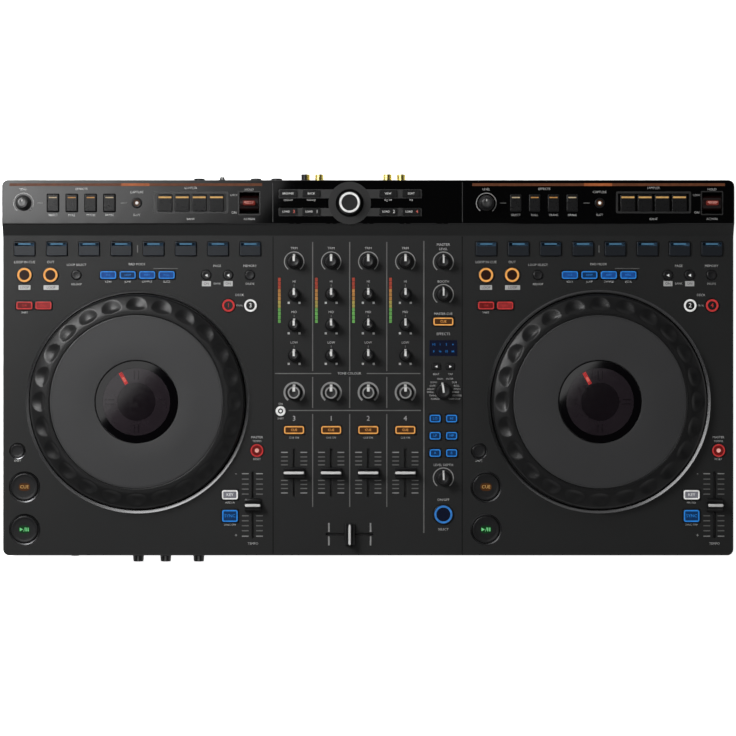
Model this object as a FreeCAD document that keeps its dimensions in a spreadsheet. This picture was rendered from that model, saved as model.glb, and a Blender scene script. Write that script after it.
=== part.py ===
"""Four-channel DJ mixer with two jog-wheel decks, in millimetres.

X runs left to right, Y from the user's edge to the rear edge and Z up. The origin is on the surface
that the mixer stands on, under the middle of the case. Every driving dimension is a cell of the
spreadsheet "dims"; each sub-part is bound to those cells and is written to parts/NODE.step.
"""

import FreeCAD, Part
import math
import os

import Sketcher

DIMENSIONS = {
    # case
    "case_width": 701.5,
    "case_depth": 360,
    "case_corner": 6,
    "case_edge": 0.8,
    "wall": 2.5,
    "floor_thick": 3,
    "foot_radius": 13,
    "foot_height": 6,
    "foot_inset": 34,
    "split_height": 46.5,
    "panel_height": 52,
    "panel_thick": 3,
    "slope_front": 127.2,
    "bar_front": 138.2,
    "bar_height": 60,
    "fascia_thick": 1.8,
    # screws that close the case from below
    "post_radius": 4,
    "screw_radius": 1.45,
    "screw_head_radius": 3.4,
    "screw_head_thick": 1.6,
    "screw_length": 14,
    "screw_x_outer": 344,
    "screw_x_middle": 125,
    "screw_y": 173,
    "screw_gap": 0.2,
    # deck layout, measured from the middle of the jog wheel
    "deck_x": 221.6,
    "deck_y": -32.3,
    "pad_pitch": 30.95,
    "pad_row": 114.4,
    "mode_pitch": 18.7,
    "mode_row": 89.3,
    "loop_row": 60,
    "loop_in_x": -108.5,
    "loop_out_x": -83.5,
    "loop_select_x": -58.6,
    "param_x": 66.2,
    "param_pitch": 20.9,
    "call_x": -108.5,
    "call_pitch": 18.3,
    "deck_select_x": 87.4,
    "deck_select_pitch": 21.1,
    "shift_x": -115.2,
    "shift_y": -79.7,
    "transport_x": -108.5,
    "cue_y": -114.2,
    "play_y": -155,
    "reset_x": 114.7,
    "reset_y": -79.2,
    "key_x": 88.8,
    "key_lock_y": -121.7,
    "sync_y": -142,
    "tempo_x": 110.9,
    "tempo_y": -131.5,
    # raised bar layout, measured from the middle of the jog wheel in X
    "bar_row": 158,
    "bar_knob_x": -108.6,
    "effect_x": -80.3,
    "effect_pitch": 18.03,
    "capture_x": 0,
    "group_x": 27,
    "group_pitch": 16.43,
    "lever_x": 107.6,
    # mixer layout
    "mixer_x": -17.8,
    "channel_pitch": 35.6,
    "trim_row": 102.2,
    "high_row": 70.6,
    "equaliser_pitch": 29.3,
    "colour_row": -23.5,
    "cue_row": -59.5,
    "fader_row": -100.4,
    "crossfader_row": -159.6,
    "mixer_switch_x": -84.2,
    "mixer_switch_y": -41.3,
    "master_x": 72.1,
    "master_row": 101.8,
    "booth_row": 70.6,
    "master_cue_row": 44.6,
    "display_switch_pitch": 13.7,
    "display_switch_row": 1.4,
    "selector_row": -22.1,
    "effect_key_pitch_x": 15.8,
    "effect_key_pitch_y": 16.55,
    "effect_key_row": -48.5,
    "depth_row": -105.6,
    "effect_on_row": -140.6,
    "display_width": 27,
    "display_depth": 15.4,
    "display_row": 19.2,
    "meter_width": 3,
    "meter_length": 43.7,
    "meter_row": 65,
    "meter_offset": -14.2,
    "window_sink": 0.8,
    "load_inner": 36.8,
    "load_outer": 58.9,
    "load_row": 167,
    "load_pitch": 17.3,
    # button caps
    "gap": 0.5,
    "cap_edge": 0.4,
    "cap_proud": 1.4,
    "pad_proud": 2,
    "flange": 1,
    "flange_top": -3.5,
    "flange_bottom": -5,
    "cap_corner": 1.2,
    "pad_width": 20.2,
    "pad_depth": 13.6,
    "mode_width": 16.4,
    "mode_depth": 8.4,
    "key_lock_width": 16.3,
    "key_lock_depth": 10,
    "sync_width": 16,
    "sync_depth": 12.5,
    "effect_width": 10.8,
    "effect_depth": 16.5,
    "group_width": 13.5,
    "group_depth": 16,
    "load_width": 17.5,
    "load_depth": 7,
    "cue_width": 20.2,
    "cue_depth": 8.6,
    "display_switch_width": 7.5,
    "display_switch_depth": 5.5,
    "effect_key_width": 11.5,
    "effect_key_depth": 8.2,
    "loop_radius": 7.5,
    "small_radius": 4.6,
    "select_radius": 6.3,
    "transport_radius": 12.8,
    "effect_on_radius": 9.6,
    # knobs
    "shaft_radius": 2.5,
    "shaft_bottom": -8,
    "shaft_gap": 0.35,
    "knob_lift": 0.8,
    "skirt_thick": 1.6,
    "skirt_slope": 1.4,
    "knob_taper": 0.7,
    "pointer_width": 1.2,
    "pointer_depth": 0.6,
    "trim_radius": 7.2,
    "trim_height": 14,
    "equaliser_radius": 6.2,
    "equaliser_height": 15,
    "colour_radius": 7.7,
    "colour_height": 14,
    "selector_radius": 8.2,
    "selector_height": 13,
    "selector_turn": 8,
    "bar_knob_radius": 7.5,
    "bar_knob_height": 13,
    "encoder_radius": 10.6,
    "encoder_height": 12,
    "front_knob_radius": 5.75,
    "front_knob_height": 7.3,
    "front_knob_z": 30,
    "phones_level_x": -222.3,
    "phones_mix_x": -195.9,
    "front_level_x": -163.9,
    "mic_knob_radius": 3,
    "mic_knob_height": 5.1,
    "mic_knob_x": -141.4,
    "rear_row": 27,
    # faders
    "stem_thick": 1.4,
    "stem_length": 3,
    "stem_bottom": -7,
    "slot_width": 2.6,
    "slot_corner": 1,
    "slot_length": 46,
    "tempo_slot_length": 64,
    "fader_cap_width": 20,
    "fader_cap_depth": 10,
    "fader_cap_height": 12,
    "tempo_cap_width": 15,
    "tempo_cap_depth": 13,
    "fader_ridge": 4,
    "fader_foot": 3.5,
    # paddle levers on the raised bar
    "lever_window_width": 19,
    "lever_window_depth": 21,
    "lever_drum_radius": 7.5,
    "lever_drum_width": 18,
    "lever_axle_drop": 7,
    "lever_axle_radius": 1.5,
    "lever_grip_width": 11.5,
    "lever_grip_depth": 4.3,
    "lever_grip_height": 7,
    "lever_grip_edge": 1,
    # jog wheels
    "jog_opening": 106,
    "jog_bezel": 111,
    "jog_bezel_drop": 2.2,
    "jog_radius": 103,
    "jog_top": 66,
    "jog_rim_top": 60.5,
    "jog_skirt_bottom": 50,
    "jog_skirt_thick": 3,
    "jog_ledge_radius": 72,
    "jog_ledge_bottom": 54,
    "jog_shoulder": 87.5,
    "plate_radius": 83.1,
    "plate_bottom": 57,
    "plate_web": 3,
    "hub_radius": 31,
    "hub_bottom": 20,
    "hub_gap": 0.35,
    "scoop_count": 24,
    "scoop_ring": 94,
    "scoop_length": 8.4,
    "scoop_width": 5.2,
    "scoop_depth": 1.4,
    "bearing_radius": 26,
    "bearing_bore": 18,
    "bearing_foot_radius": 45,
    "bearing_foot_thick": 4,
    "dish_radius": 114,
    "dish_bore": 33,
    "dish_thick": 2.5,
    "display_radius": 39,
    "display_gap": 0.8,
    "display_bottom": 61,
    "display_top": 66,
    # boards and what stands on them
    "board_thick": 1.6,
    "board_drop": 9.4,
    "deck_board_width": 236,
    "board_front": -168.5,
    "board_rear": 125,
    "deck_board_bore": 114.6,
    "mixer_board_width": 176,
    "mixer_board_x": -1,
    "bar_board_width": 660,
    "bar_board_front": 142,
    "bar_board_rear": 168.5,
    "front_board_width": 90,
    "front_board_tall": 20,
    "lever_cutout": 27,
    "lever_bracket_thick": 1.5,
    "lever_bracket_depth": 8,
    "main_board_width": 240,
    "main_board_depth": 210,
    "main_board_y": 62,
    "main_board_z": 15,
    "board_post_radius": 3,
    "deck_post_x": 66,
    "deck_post_y": -155,
    "mixer_post_rear": 86,
    "mixer_post_front": -130,
    "bar_post_left": -95,
    "bar_post_right": 89,
    "main_post_x": 110,
    "main_post_y": 95,
    "pot_width": 10,
    "pot_height": 5,
    "pot_floor": 0.6,
    "switch_width": 6,
    "switch_height": 3.2,
    "fader_body_width": 10,
    "fader_body_height": 5.5,
    "fader_body_spare": 10,
    # sockets
    "jack_bore": 3.2,
    "jack_nut": 5.25,
    "jack_nut_thick": 3.3,
    "jack_barrel": 4.4,
    "jack_body": 6.5,
    "jack_depth": 24,
    "jack_bore_depth": 22,
    "phones_nut": 3.85,
    "phones_nut_thick": 1.5,
    "phones_x": -283.4,
    "mic_jack_x": -163.5,
    "booth_jack_x": -108.7,
    "booth_jack_pitch": 20.1,
    "phono_radius": 4.1,
    "phono_length": 7,
    "phono_bore": 1.7,
    "phono_bore_depth": 6,
    "phono_neck": 4.7,
    "phono_body": 5.6,
    "phono_depth": 9.3,
    "phono_low": 19,
    "phono_rise": 14,
    "phono_left_x": -60.7,
    "phono_right_x": 18.5,
    "phono_pitch": 13.4,
    "usb_width": 12,
    "usb_height": 11,
    "usb_depth": 16,
    "usb_mouth_width": 8.4,
    "usb_mouth_height": 7.6,
    "usb_mouth_depth": 12,
    "usb_tongue_width": 5.6,
    "usb_tongue_height": 3.2,
    "usb_x": 62,
    "usb_pitch": 22,
    "power_x": 290,
    "power_radius": 4.6,
    "power_bore": 2.9,
    "power_pin": 1,
    "power_depth": 14,
    "power_mouth_depth": 9,
}

CHANNEL_STEPS = {"three": -1.5, "one": -0.5, "two": 0.5, "four": 1.5}
DECKS = {"left": -1, "right": 1}

document = FreeCAD.newDocument("dj_mixer")
sheet = document.addObject("Spreadsheet::Sheet", "dims")
for row, (alias, value) in enumerate(DIMENSIONS.items(), start=1):
    sheet.set(f"A{row}", str(value))
    sheet.setAlias(f"A{row}", alias)
document.recompute()


# ---------------------------------------------------------------- helpers

def bind(item, path, expression):
    """Ties one property to the spreadsheet; a bare alias stands for its cell."""
    item.setExpression(path, expression)


def cell(alias):
    return f"dims.{alias}"


def read(alias):
    return float(sheet.get(alias))


def place(item, x="0", y="0", z="0"):
    bind(item, "Placement.Base.x", x)
    bind(item, "Placement.Base.y", y)
    bind(item, "Placement.Base.z", z)
    return item


def new_body(name):
    return document.addObject("PartDesign::Body", name)


def origin_plane(body, role):
    return next(plane for plane in body.Origin.OriginFeatures if plane.Role == role)


def new_sketch(body, name, role, height="0"):
    """A sketch on one of the body's own planes, lifted along the plane's normal."""
    sketch = body.newObject("Sketcher::SketchObject", name)
    sketch.AttachmentSupport = [(origin_plane(body, role), "")]
    sketch.MapMode = "FlatFace"
    bind(sketch, "AttachmentOffset.Base.z", height)
    return sketch


def bound(sketch, constraint, name, expression):
    sketch.addConstraint(constraint)
    sketch.renameConstraint(sketch.ConstraintCount - 1, name)
    bind(sketch, f"Constraints.{name}", expression)


def rounded_outline(sketch, width, depth, corner):
    """A rectangle about the sketch origin with four equal rounded corners."""
    start_x = evaluate(width) / 2
    start_y = evaluate(depth) / 2
    radius = evaluate(corner)
    quarter = math.pi / 2
    up = FreeCAD.Vector(0, 0, 1)
    corners = [(1, -1), (1, 1), (-1, 1), (-1, -1)]
    edges = []
    for index, (side_x, side_y) in enumerate(corners):
        centre = FreeCAD.Vector(side_x * (start_x - radius), side_y * (start_y - radius), 0)
        first = (index - 1) * quarter
        circle = Part.Circle(centre, up, radius)
        edges.append(Part.ArcOfCircle(circle, first, first + quarter))
    lines = []
    for index, arc in enumerate(edges):
        following = edges[(index + 1) % 4]
        lines.append(Part.LineSegment(arc.EndPoint, following.StartPoint))
    outline = [edge for pair in zip(edges, lines) for edge in pair]
    sketch.addGeometry(outline, False)
    count = len(outline)
    for index in range(count):
        sketch.addConstraint(Sketcher.Constraint("Tangent", index, 2, (index + 1) % count, 1))
    for index in (1, 5):
        sketch.addConstraint(Sketcher.Constraint("Vertical", index))
    for index in (3, 7):
        sketch.addConstraint(Sketcher.Constraint("Horizontal", index))
    for index in (2, 4, 6):
        sketch.addConstraint(Sketcher.Constraint("Equal", 0, index))
    sketch.addConstraint(Sketcher.Constraint("Symmetric", 0, 3, 4, 3, -1, 1))
    bound(sketch, Sketcher.Constraint("Distance", 5, 1, 1, 2 * start_x), "width", width)
    bound(sketch, Sketcher.Constraint("Distance", 7, 1, 3, 2 * start_y), "depth", depth)
    bound(sketch, Sketcher.Constraint("Radius", 0, radius), "corner", corner)


def circle_outline(sketch, radius, x="0", y="0"):
    sketch.addGeometry(Part.Circle(FreeCAD.Vector(1, 1, 0), FreeCAD.Vector(0, 0, 1), 1), False)
    bound(sketch, Sketcher.Constraint("Radius", 0, 1.0), "radius", radius)
    pin_point(sketch, 0, 3, x, y, "centre")


def pin_point(sketch, geometry, position, x, y, name):
    """Holds one sketch point at bound coordinates, or on an axis where a coordinate is 0."""
    if x == "0" and y == "0":
        sketch.addConstraint(Sketcher.Constraint("Coincident", geometry, position, -1, 1))
        return
    for kind, axis, value in (("DistanceX", -2, x), ("DistanceY", -1, y)):
        if value == "0":
            sketch.addConstraint(Sketcher.Constraint("PointOnObject", geometry, position, axis))
        else:
            bound(sketch, Sketcher.Constraint(kind, geometry, position, 1.0), f"{name}_{kind}", value)


def profile_outline(sketch, points):
    """A closed polygon whose corners are pairs of expressions."""
    rough = []
    for x, y in points:
        rough.append(FreeCAD.Vector(evaluate(x), evaluate(y), 0))
    count = len(points)
    for index in range(count):
        sketch.addGeometry(Part.LineSegment(rough[index], rough[(index + 1) % count]), False)
    for index in range(count):
        following = (index + 1) % count
        sketch.addConstraint(Sketcher.Constraint("Coincident", index, 2, following, 1))
    for index, (x, y) in enumerate(points):
        pin_point(sketch, index, 1, x, y, f"corner_{index}")


def evaluate(expression):
    """The number that an expression gives now, for a sketch's first rough shape."""
    return float(sheet.evalExpression(expression.replace("dims.", "")))


def pad(body, sketch, length, symmetric=False, name="pad"):
    feature = body.newObject("PartDesign::Pad", f"{body.Name}_{name}")
    feature.Profile = sketch
    feature.SideType = "Symmetric" if symmetric else "One side"
    bind(feature, "Length", length)
    document.recompute()
    return feature


def pocket(body, sketch, length, symmetric=False, reversed_cut=False, name="pocket"):
    """Cuts a sketch's outline and checks that the cut really removes something."""
    before = body.Shape.Volume
    feature = body.newObject("PartDesign::Pocket", f"{body.Name}_{name}")
    feature.Profile = sketch
    feature.SideType = "Symmetric" if symmetric else "One side"
    feature.Reversed = reversed_cut
    bind(feature, "Length", length)
    document.recompute()
    if body.Shape.Volume >= before:
        raise RuntimeError(f"{feature.Name} removes nothing")
    return feature


def revolve(body, sketch, name="turned"):
    feature = body.newObject("PartDesign::Revolution", f"{body.Name}_{name}")
    feature.Profile = sketch
    feature.ReferenceAxis = (sketch, ["V_Axis"])
    feature.Angle = 360
    document.recompute()
    return feature


def edges_at(shape, height):
    """Names of the edges that lie wholly at one height."""
    names = []
    for index, edge in enumerate(shape.Edges, start=1):
        if abs(edge.BoundBox.ZMin - height) < 1e-4 and abs(edge.BoundBox.ZMax - height) < 1e-4:
            names.append(f"Edge{index}")
    return names


def upright_edges(shape):
    """Names of the straight edges that stand along Z."""
    names = []
    for index, edge in enumerate(shape.Edges, start=1):
        box = edge.BoundBox
        if box.XLength < 1e-4 and box.YLength < 1e-4:
            names.append(f"Edge{index}")
    return names


def dress(body, kind, base, edge_names, size):
    feature = body.newObject(f"PartDesign::{kind}", f"{body.Name}_{kind.lower()}")
    feature.Base = (base, edge_names)
    bind(feature, "Radius" if kind == "Fillet" else "Size", size)
    document.recompute()
    return feature


def drum(name, radius, height, x="0", y="0", z="0"):
    item = document.addObject("Part::Cylinder", name)
    bind(item, "Radius", radius)
    bind(item, "Height", height)
    return place(item, x, y, z)


def block(name, width, depth, height, x="0", y="0", z="0"):
    """A box centred on x and y, standing on z."""
    item = document.addObject("Part::Box", name)
    bind(item, "Length", width)
    bind(item, "Width", depth)
    bind(item, "Height", height)
    return place(item, f"{x} - ({width}) / 2", f"{y} - ({depth}) / 2", z)


def turn_about_x(item, degrees):
    item.Placement.Rotation = FreeCAD.Rotation(FreeCAD.Vector(1, 0, 0), degrees)
    return item


def cut(name, base, tool):
    item = document.addObject("Part::Cut", name)
    item.Base = base
    item.Tool = tool
    return item


def fuse(name, items):
    item = document.addObject("Part::MultiFuse", name)
    item.Shapes = items
    return item


def group(name, items):
    item = document.addObject("Part::Compound", name)
    item.Links = items
    return item


def copy_of(template, name, x, y, z):
    link = document.addObject("App::Link", name)
    link.LinkedObject = template
    return place(link, x, y, z)


def deck_point(side, offset):
    """An X position given from the middle of one deck's jog wheel."""
    return f"{side} * {cell('deck_x')} + {offset}"


# ---------------------------------------------------------------- where each control is

PANEL = cell("panel_height")
BAR = cell("bar_height")


def deck_controls(side):
    """Button kind, X, Y for one deck's flat panel."""
    def at(offset):
        return deck_point(side, offset)

    controls = [
        ("loop", at(cell("loop_in_x")), cell("mode_row")),
        ("loop", at(cell("loop_out_x")), cell("mode_row")),
        ("small", at(cell("loop_select_x")), cell("mode_row")),
        ("select", at(cell("shift_x")), cell("shift_y")),
        ("transport", at(cell("transport_x")), cell("cue_y")),
        ("transport", at(cell("transport_x")), cell("play_y")),
        ("select", at(cell("reset_x")), cell("reset_y")),
        ("key_lock", at(cell("key_x")), cell("key_lock_y")),
        ("sync", at(cell("key_x")), cell("sync_y")),
    ]
    for step in range(4):
        controls.append(("mode", at(f"{cell('mode_pitch')} * {step - 1.5}"), cell("mode_row")))
    for step in range(3):
        offset = f"{cell('param_x')} + {cell('param_pitch')} * {step}"
        controls.append(("small", at(offset), cell("mode_row")))
    for step in range(2):
        call = f"{cell('call_x')} + {cell('call_pitch')} * {step}"
        controls.append(("mode", at(call), cell("loop_row")))
        select = f"{cell('deck_select_x')} + {cell('deck_select_pitch')} * {step}"
        controls.append(("select", at(select), cell("loop_row")))
    return controls


def pad_controls(side):
    """The row of eight performance pads of one deck."""
    controls = []
    for step in range(8):
        offset = f"{cell('pad_pitch')} * {step - 3.5}"
        controls.append(("pad", deck_point(side, offset), cell("pad_row")))
    return controls


def bar_controls(side):
    """The buttons of one deck on the raised bar."""
    controls = [("small", deck_point(side, cell("capture_x")), cell("bar_row"))]
    for step in range(4):
        effect = f"{cell('effect_x')} + {cell('effect_pitch')} * {step}"
        controls.append(("effect", deck_point(side, effect), cell("bar_row")))
        slot = f"{cell('group_x')} + {cell('group_pitch')} * {step}"
        controls.append(("group", deck_point(side, slot), cell("bar_row")))
    return controls


def channel_x(step):
    return f"{cell('mixer_x')} + {cell('channel_pitch')} * {step}"


def mixer_panel_controls():
    """The buttons of the middle section on the flat panel."""
    controls = [
        ("small", cell("mixer_switch_x"), cell("mixer_switch_y")),
        ("cue", cell("master_x"), cell("master_cue_row")),
        ("effect_on", cell("master_x"), cell("effect_on_row")),
    ]
    for step in CHANNEL_STEPS.values():
        controls.append(("cue", channel_x(step), cell("cue_row")))
    for side in (-1, 1):
        switch_x = f"{cell('master_x')} + {side} * {cell('display_switch_pitch')} / 2"
        controls.append(("display_switch", switch_x, cell("display_switch_row")))
        key_x = f"{cell('master_x')} + {side} * {cell('effect_key_pitch_x')} / 2"
        for step in range(3):
            key_y = f"{cell('effect_key_row')} - {cell('effect_key_pitch_y')} * {step}"
            controls.append(("effect_key", key_x, key_y))
    return controls


def load_controls():
    """The four pairs of load buttons beside the browse encoder, on the raised bar."""
    controls = []
    for side in (-1, 1):
        for offset in (cell("load_inner"), cell("load_outer")):
            for step in range(2):
                x = f"{cell('mixer_x')} + {side} * {offset}"
                y = f"{cell('load_row')} - {cell('load_pitch')} * {step}"
                controls.append(("load", x, y))
    return controls


KNOBS = []


def knob_site(name, kind, x, y, surface):
    KNOBS.append({"name": name, "kind": kind, "x": x, "y": y, "surface": surface})


for deck, side in DECKS.items():
    bar_knob_x = deck_point(side, cell("bar_knob_x"))
    knob_site(f"{deck}_bar_knob", "bar_knob", bar_knob_x, cell("bar_row"), BAR)
for channel, step in CHANNEL_STEPS.items():
    knob_x = channel_x(step)
    knob_site(f"trim_knob_{channel}", "trim", knob_x, cell("trim_row"), PANEL)
    for index, band in enumerate(("high", "mid", "low")):
        band_y = f"{cell('high_row')} - {cell('equaliser_pitch')} * {index}"
        knob_site(f"{band}_knob_{channel}", "equaliser", knob_x, band_y, PANEL)
    knob_site(f"colour_knob_{channel}", "colour", knob_x, cell("colour_row"), PANEL)
knob_site("master_level_knob", "trim", cell("master_x"), cell("master_row"), PANEL)
knob_site("booth_level_knob", "trim", cell("master_x"), cell("booth_row"), PANEL)
knob_site("beat_selector_knob", "selector", cell("master_x"), cell("selector_row"), PANEL)
knob_site("effect_depth_knob", "trim", cell("master_x"), cell("depth_row"), PANEL)
knob_site("browse_encoder", "encoder", cell("mixer_x"), cell("bar_row"), BAR)

FADERS = []
for channel, step in CHANNEL_STEPS.items():
    FADERS.append({
        "name": f"channel_fader_{channel}",
        "x": channel_x(step),
        "y": cell("fader_row"),
        "slot": cell("slot_length"),
        "size": "fader_cap",
        "across": False,
    })
for deck, side in DECKS.items():
    FADERS.append({
        "name": f"{deck}_tempo_slider",
        "x": deck_point(side, cell("tempo_x")),
        "y": cell("tempo_y"),
        "slot": cell("tempo_slot_length"),
        "size": "tempo_cap",
        "across": False,
    })
FADERS.append({
    "name": "crossfader",
    "x": cell("mixer_x"),
    "y": cell("crossfader_row"),
    "slot": cell("slot_length"),
    "size": "fader_cap",
    "across": True,
})


# ---------------------------------------------------------------- button caps and their openings

ROUND_KINDS = ("loop", "small", "select", "transport", "effect_on")
BUTTON_KINDS = ROUND_KINDS + (
    "pad", "mode", "key_lock", "sync", "effect", "group", "load", "cue", "display_switch", "effect_key",
)


def button_outline(sketch, kind, grow):
    """The plan of one button kind, grown on every side by an expression."""
    if kind in ROUND_KINDS:
        circle_outline(sketch, f"{cell(kind + '_radius')} + {grow}")
    else:
        width = f"{cell(kind + '_width')} + 2 * ({grow})"
        depth = f"{cell(kind + '_depth')} + 2 * ({grow})"
        rounded_outline(sketch, width, depth, f"{cell('cap_corner')} + {grow}")


def make_button_cap(kind):
    """One cap: a rounded key top with a wider flange that keeps it under the panel."""
    body = new_body(f"{kind}_cap")
    flange = new_sketch(body, f"{kind}_flange_outline", "XY_Plane", cell("flange_bottom"))
    button_outline(flange, kind, cell("flange"))
    pad(body, flange, f"{cell('flange_top')} - {cell('flange_bottom')}", name="flange")
    top = new_sketch(body, f"{kind}_top_outline", "XY_Plane", cell("flange_top"))
    button_outline(top, kind, "0")
    proud = cell("pad_proud") if kind == "pad" else cell("cap_proud")
    stem = pad(body, top, f"{proud} - {cell('flange_top')}", name="top")
    dress(body, "Fillet", stem, edges_at(body.Shape, evaluate(proud)), cell("cap_edge"))
    return body


def make_button_opening(kind):
    """The hole in the panel for one button kind, with running room all round."""
    body = new_body(f"{kind}_opening")
    outline = new_sketch(body, f"{kind}_opening_outline", "XY_Plane", f"-2 * {cell('panel_thick')}")
    button_outline(outline, kind, cell("gap"))
    pad(body, outline, f"4 * {cell('panel_thick')}", name="hole")
    return body


button_caps = {kind: make_button_cap(kind) for kind in BUTTON_KINDS}
button_openings = {kind: make_button_opening(kind) for kind in BUTTON_KINDS}
switch_template = block("switch_body", cell("switch_width"), cell("switch_width"), cell("switch_height"))

panel_tools = []
board_parts = []


def make_buttons(node, rows):
    """One node of button caps; rows lists (controls, surface height)."""
    caps = []
    for controls, surface in rows:
        for kind, x, y in controls:
            number = len(caps) + 1
            caps.append(copy_of(button_caps[kind], f"{node}_{number}", x, y, surface))
            hole_name = f"{node}_hole_{number}"
            panel_tools.append(copy_of(button_openings[kind], hole_name, x, y, surface))
            switch_z = f"{surface} - {cell('board_drop')}"
            switch = copy_of(switch_template, f"{node}_switch_{number}", "0", "0", "0")
            place(switch, f"{x} - {cell('switch_width')} / 2", f"{y} - {cell('switch_width')} / 2", switch_z)
            board_parts.append(switch)
    return group(node, caps)


nodes = {}
for deck, side in DECKS.items():
    pads_node = f"{deck}_performance_pads"
    nodes[pads_node] = make_buttons(pads_node, [(pad_controls(side), PANEL)])
    buttons_node = f"{deck}_deck_buttons"
    nodes[buttons_node] = make_buttons(buttons_node, [(deck_controls(side), PANEL)])
    bar_node = f"{deck}_bar_buttons"
    nodes[bar_node] = make_buttons(bar_node, [(bar_controls(side), BAR)])
mixer_rows = [(mixer_panel_controls(), PANEL), (load_controls(), BAR)]
nodes["mixer_buttons"] = make_buttons("mixer_buttons", mixer_rows)


# ---------------------------------------------------------------- knobs

def make_knob(name, kind, shaft_bottom):
    """A turned knob with a skirt, a tapered grip, a shaft and a groove for its pointer."""
    radius = cell(f"{kind}_radius")
    height = cell(f"{kind}_height")
    skirt_top = f"{cell('knob_lift')} + {cell('skirt_thick')}"
    grip = f"({radius} - {cell('skirt_slope')})"
    body = new_body(name)
    profile = new_sketch(body, f"{name}_profile", "XZ_Plane")
    profile_outline(profile, [
        ("0", shaft_bottom),
        (cell("shaft_radius"), shaft_bottom),
        (cell("shaft_radius"), cell("knob_lift")),
        (radius, cell("knob_lift")),
        (radius, skirt_top),
        (grip, f"{skirt_top} + {cell('skirt_slope')}"),
        (f"{grip} - {cell('knob_taper')}", f"{height} - {cell('cap_edge')}"),
        (f"{grip} - {cell('knob_taper')} - {cell('cap_edge')}", height),
        ("0", height),
    ])
    revolve(body, profile)
    groove = new_sketch(body, f"{name}_pointer", "XY_Plane", height)
    profile_outline(groove, [
        (f"-{cell('pointer_width')} / 2", f"{grip} / 4"),
        (f"{cell('pointer_width')} / 2", f"{grip} / 4"),
        (f"{cell('pointer_width')} / 2", radius),
        (f"-{cell('pointer_width')} / 2", radius),
    ])
    pocket(body, groove, cell("pointer_depth"), name="pointer_groove")
    return body


pot_template = cut(
    "pot_body",
    block("pot_block", cell("pot_width"), cell("pot_width"), cell("pot_height")),
    drum("pot_bore", f"{cell('shaft_radius')} + {cell('shaft_gap')}", cell("pot_height"),
         z=cell("pot_floor")),
)
shaft_hole = drum(
    "shaft_hole",
    f"{cell('shaft_radius')} + {cell('gap')}",
    f"4 * {cell('panel_thick')}",
    z=f"-2 * {cell('panel_thick')}",
)


def stand_pot(name, x, y, board_top):
    board_parts.append(copy_of(pot_template, name, x, y, board_top))


for site in KNOBS:
    knob = make_knob(site["name"], site["kind"], cell("shaft_bottom"))
    nodes[site["name"]] = place(knob, site["x"], site["y"], site["surface"])
    hole = document.addObject("App::Link", f"{site['name']}_hole")
    hole.LinkedObject = shaft_hole
    place(hole, site["x"], site["y"], f"{site['surface']} - 2 * {cell('panel_thick')}")
    panel_tools.append(hole)
    stand_pot(f"{site['name']}_pot", site["x"], site["y"], f"{site['surface']} - {cell('board_drop')}")
upward = FreeCAD.Vector(0, 0, 1)
nodes["beat_selector_knob"].Placement.Rotation = FreeCAD.Rotation(upward, read("selector_turn"))

HALF_DEPTH = f"{cell('case_depth')} / 2"
KNOB_SEAT = f"({HALF_DEPTH} - {cell('knob_lift')} + {cell('gap')})"
FRONT_KNOBS = {
    "phones_level_knob": cell("phones_level_x"),
    "phones_mix_knob": cell("phones_mix_x"),
    "front_level_knob": cell("front_level_x"),
}
for name, x in FRONT_KNOBS.items():
    knob = make_knob(name, "front_knob", cell("shaft_bottom"))
    turn_about_x(knob, 90)
    nodes[name] = place(knob, x, f"-{KNOB_SEAT}", cell("front_knob_z"))
mic_knob = make_knob("mic_level_knob", "mic_knob", cell("shaft_bottom"))
turn_about_x(mic_knob, -90)
nodes["mic_level_knob"] = place(mic_knob, cell("mic_knob_x"), KNOB_SEAT, cell("rear_row"))


# ---------------------------------------------------------------- faders

def make_fader(site):
    """A wedge-sided cap with a flat ridge on top, on a thin stem that runs in the slot."""
    size = site["size"]
    depth = cell(f"{size}_depth")
    height = cell("fader_cap_height")
    lift = cell("knob_lift")
    ridge = cell("fader_ridge")
    foot = cell("fader_foot")
    body = new_body(site["name"])
    side_view = new_sketch(body, f"{site['name']}_side_view", "YZ_Plane")
    profile_outline(side_view, [
        (f"-{depth} / 2", lift),
        (f"{depth} / 2", lift),
        (f"{depth} / 2", foot),
        (f"{ridge} / 2", height),
        (f"-{ridge} / 2", height),
        (f"-{depth} / 2", foot),
    ])
    pad(body, side_view, cell(f"{size}_width"), symmetric=True, name="cap")
    stem = new_sketch(body, f"{site['name']}_stem_outline", "XY_Plane", cell("stem_bottom"))
    profile_outline(stem, [
        (f"-{cell('stem_thick')} / 2", f"-{cell('stem_length')} / 2"),
        (f"{cell('stem_thick')} / 2", f"-{cell('stem_length')} / 2"),
        (f"{cell('stem_thick')} / 2", f"{cell('stem_length')} / 2"),
        (f"-{cell('stem_thick')} / 2", f"{cell('stem_length')} / 2"),
    ])
    pad(body, stem, f"{lift} - {cell('stem_bottom')}", name="stem")
    return body


def make_slot(length_alias):
    """The long narrow hole that a fader's stem runs in."""
    body = new_body(f"{length_alias}_opening")
    below = f"-4 * {cell('panel_thick')}"
    outline = new_sketch(body, f"{length_alias}_outline", "XY_Plane", below)
    rounded_outline(outline, cell("slot_width"), cell(length_alias), cell("slot_corner"))
    pad(body, outline, f"8 * {cell('panel_thick')}", name="hole")
    return body


def make_fader_body(length_alias):
    """The closed track under the panel that holds the fader's sliding contact."""
    spare = cell("fader_body_spare")
    shell = block(f"{length_alias}_shell", cell("fader_body_width"), f"{cell(length_alias)} + {spare}",
                  cell("fader_body_height"))
    track = block(f"{length_alias}_track", cell("slot_width"), cell(length_alias),
                  cell("fader_body_height"), z=cell("board_thick"))
    return cut(f"{length_alias}_body", shell, track)


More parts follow.
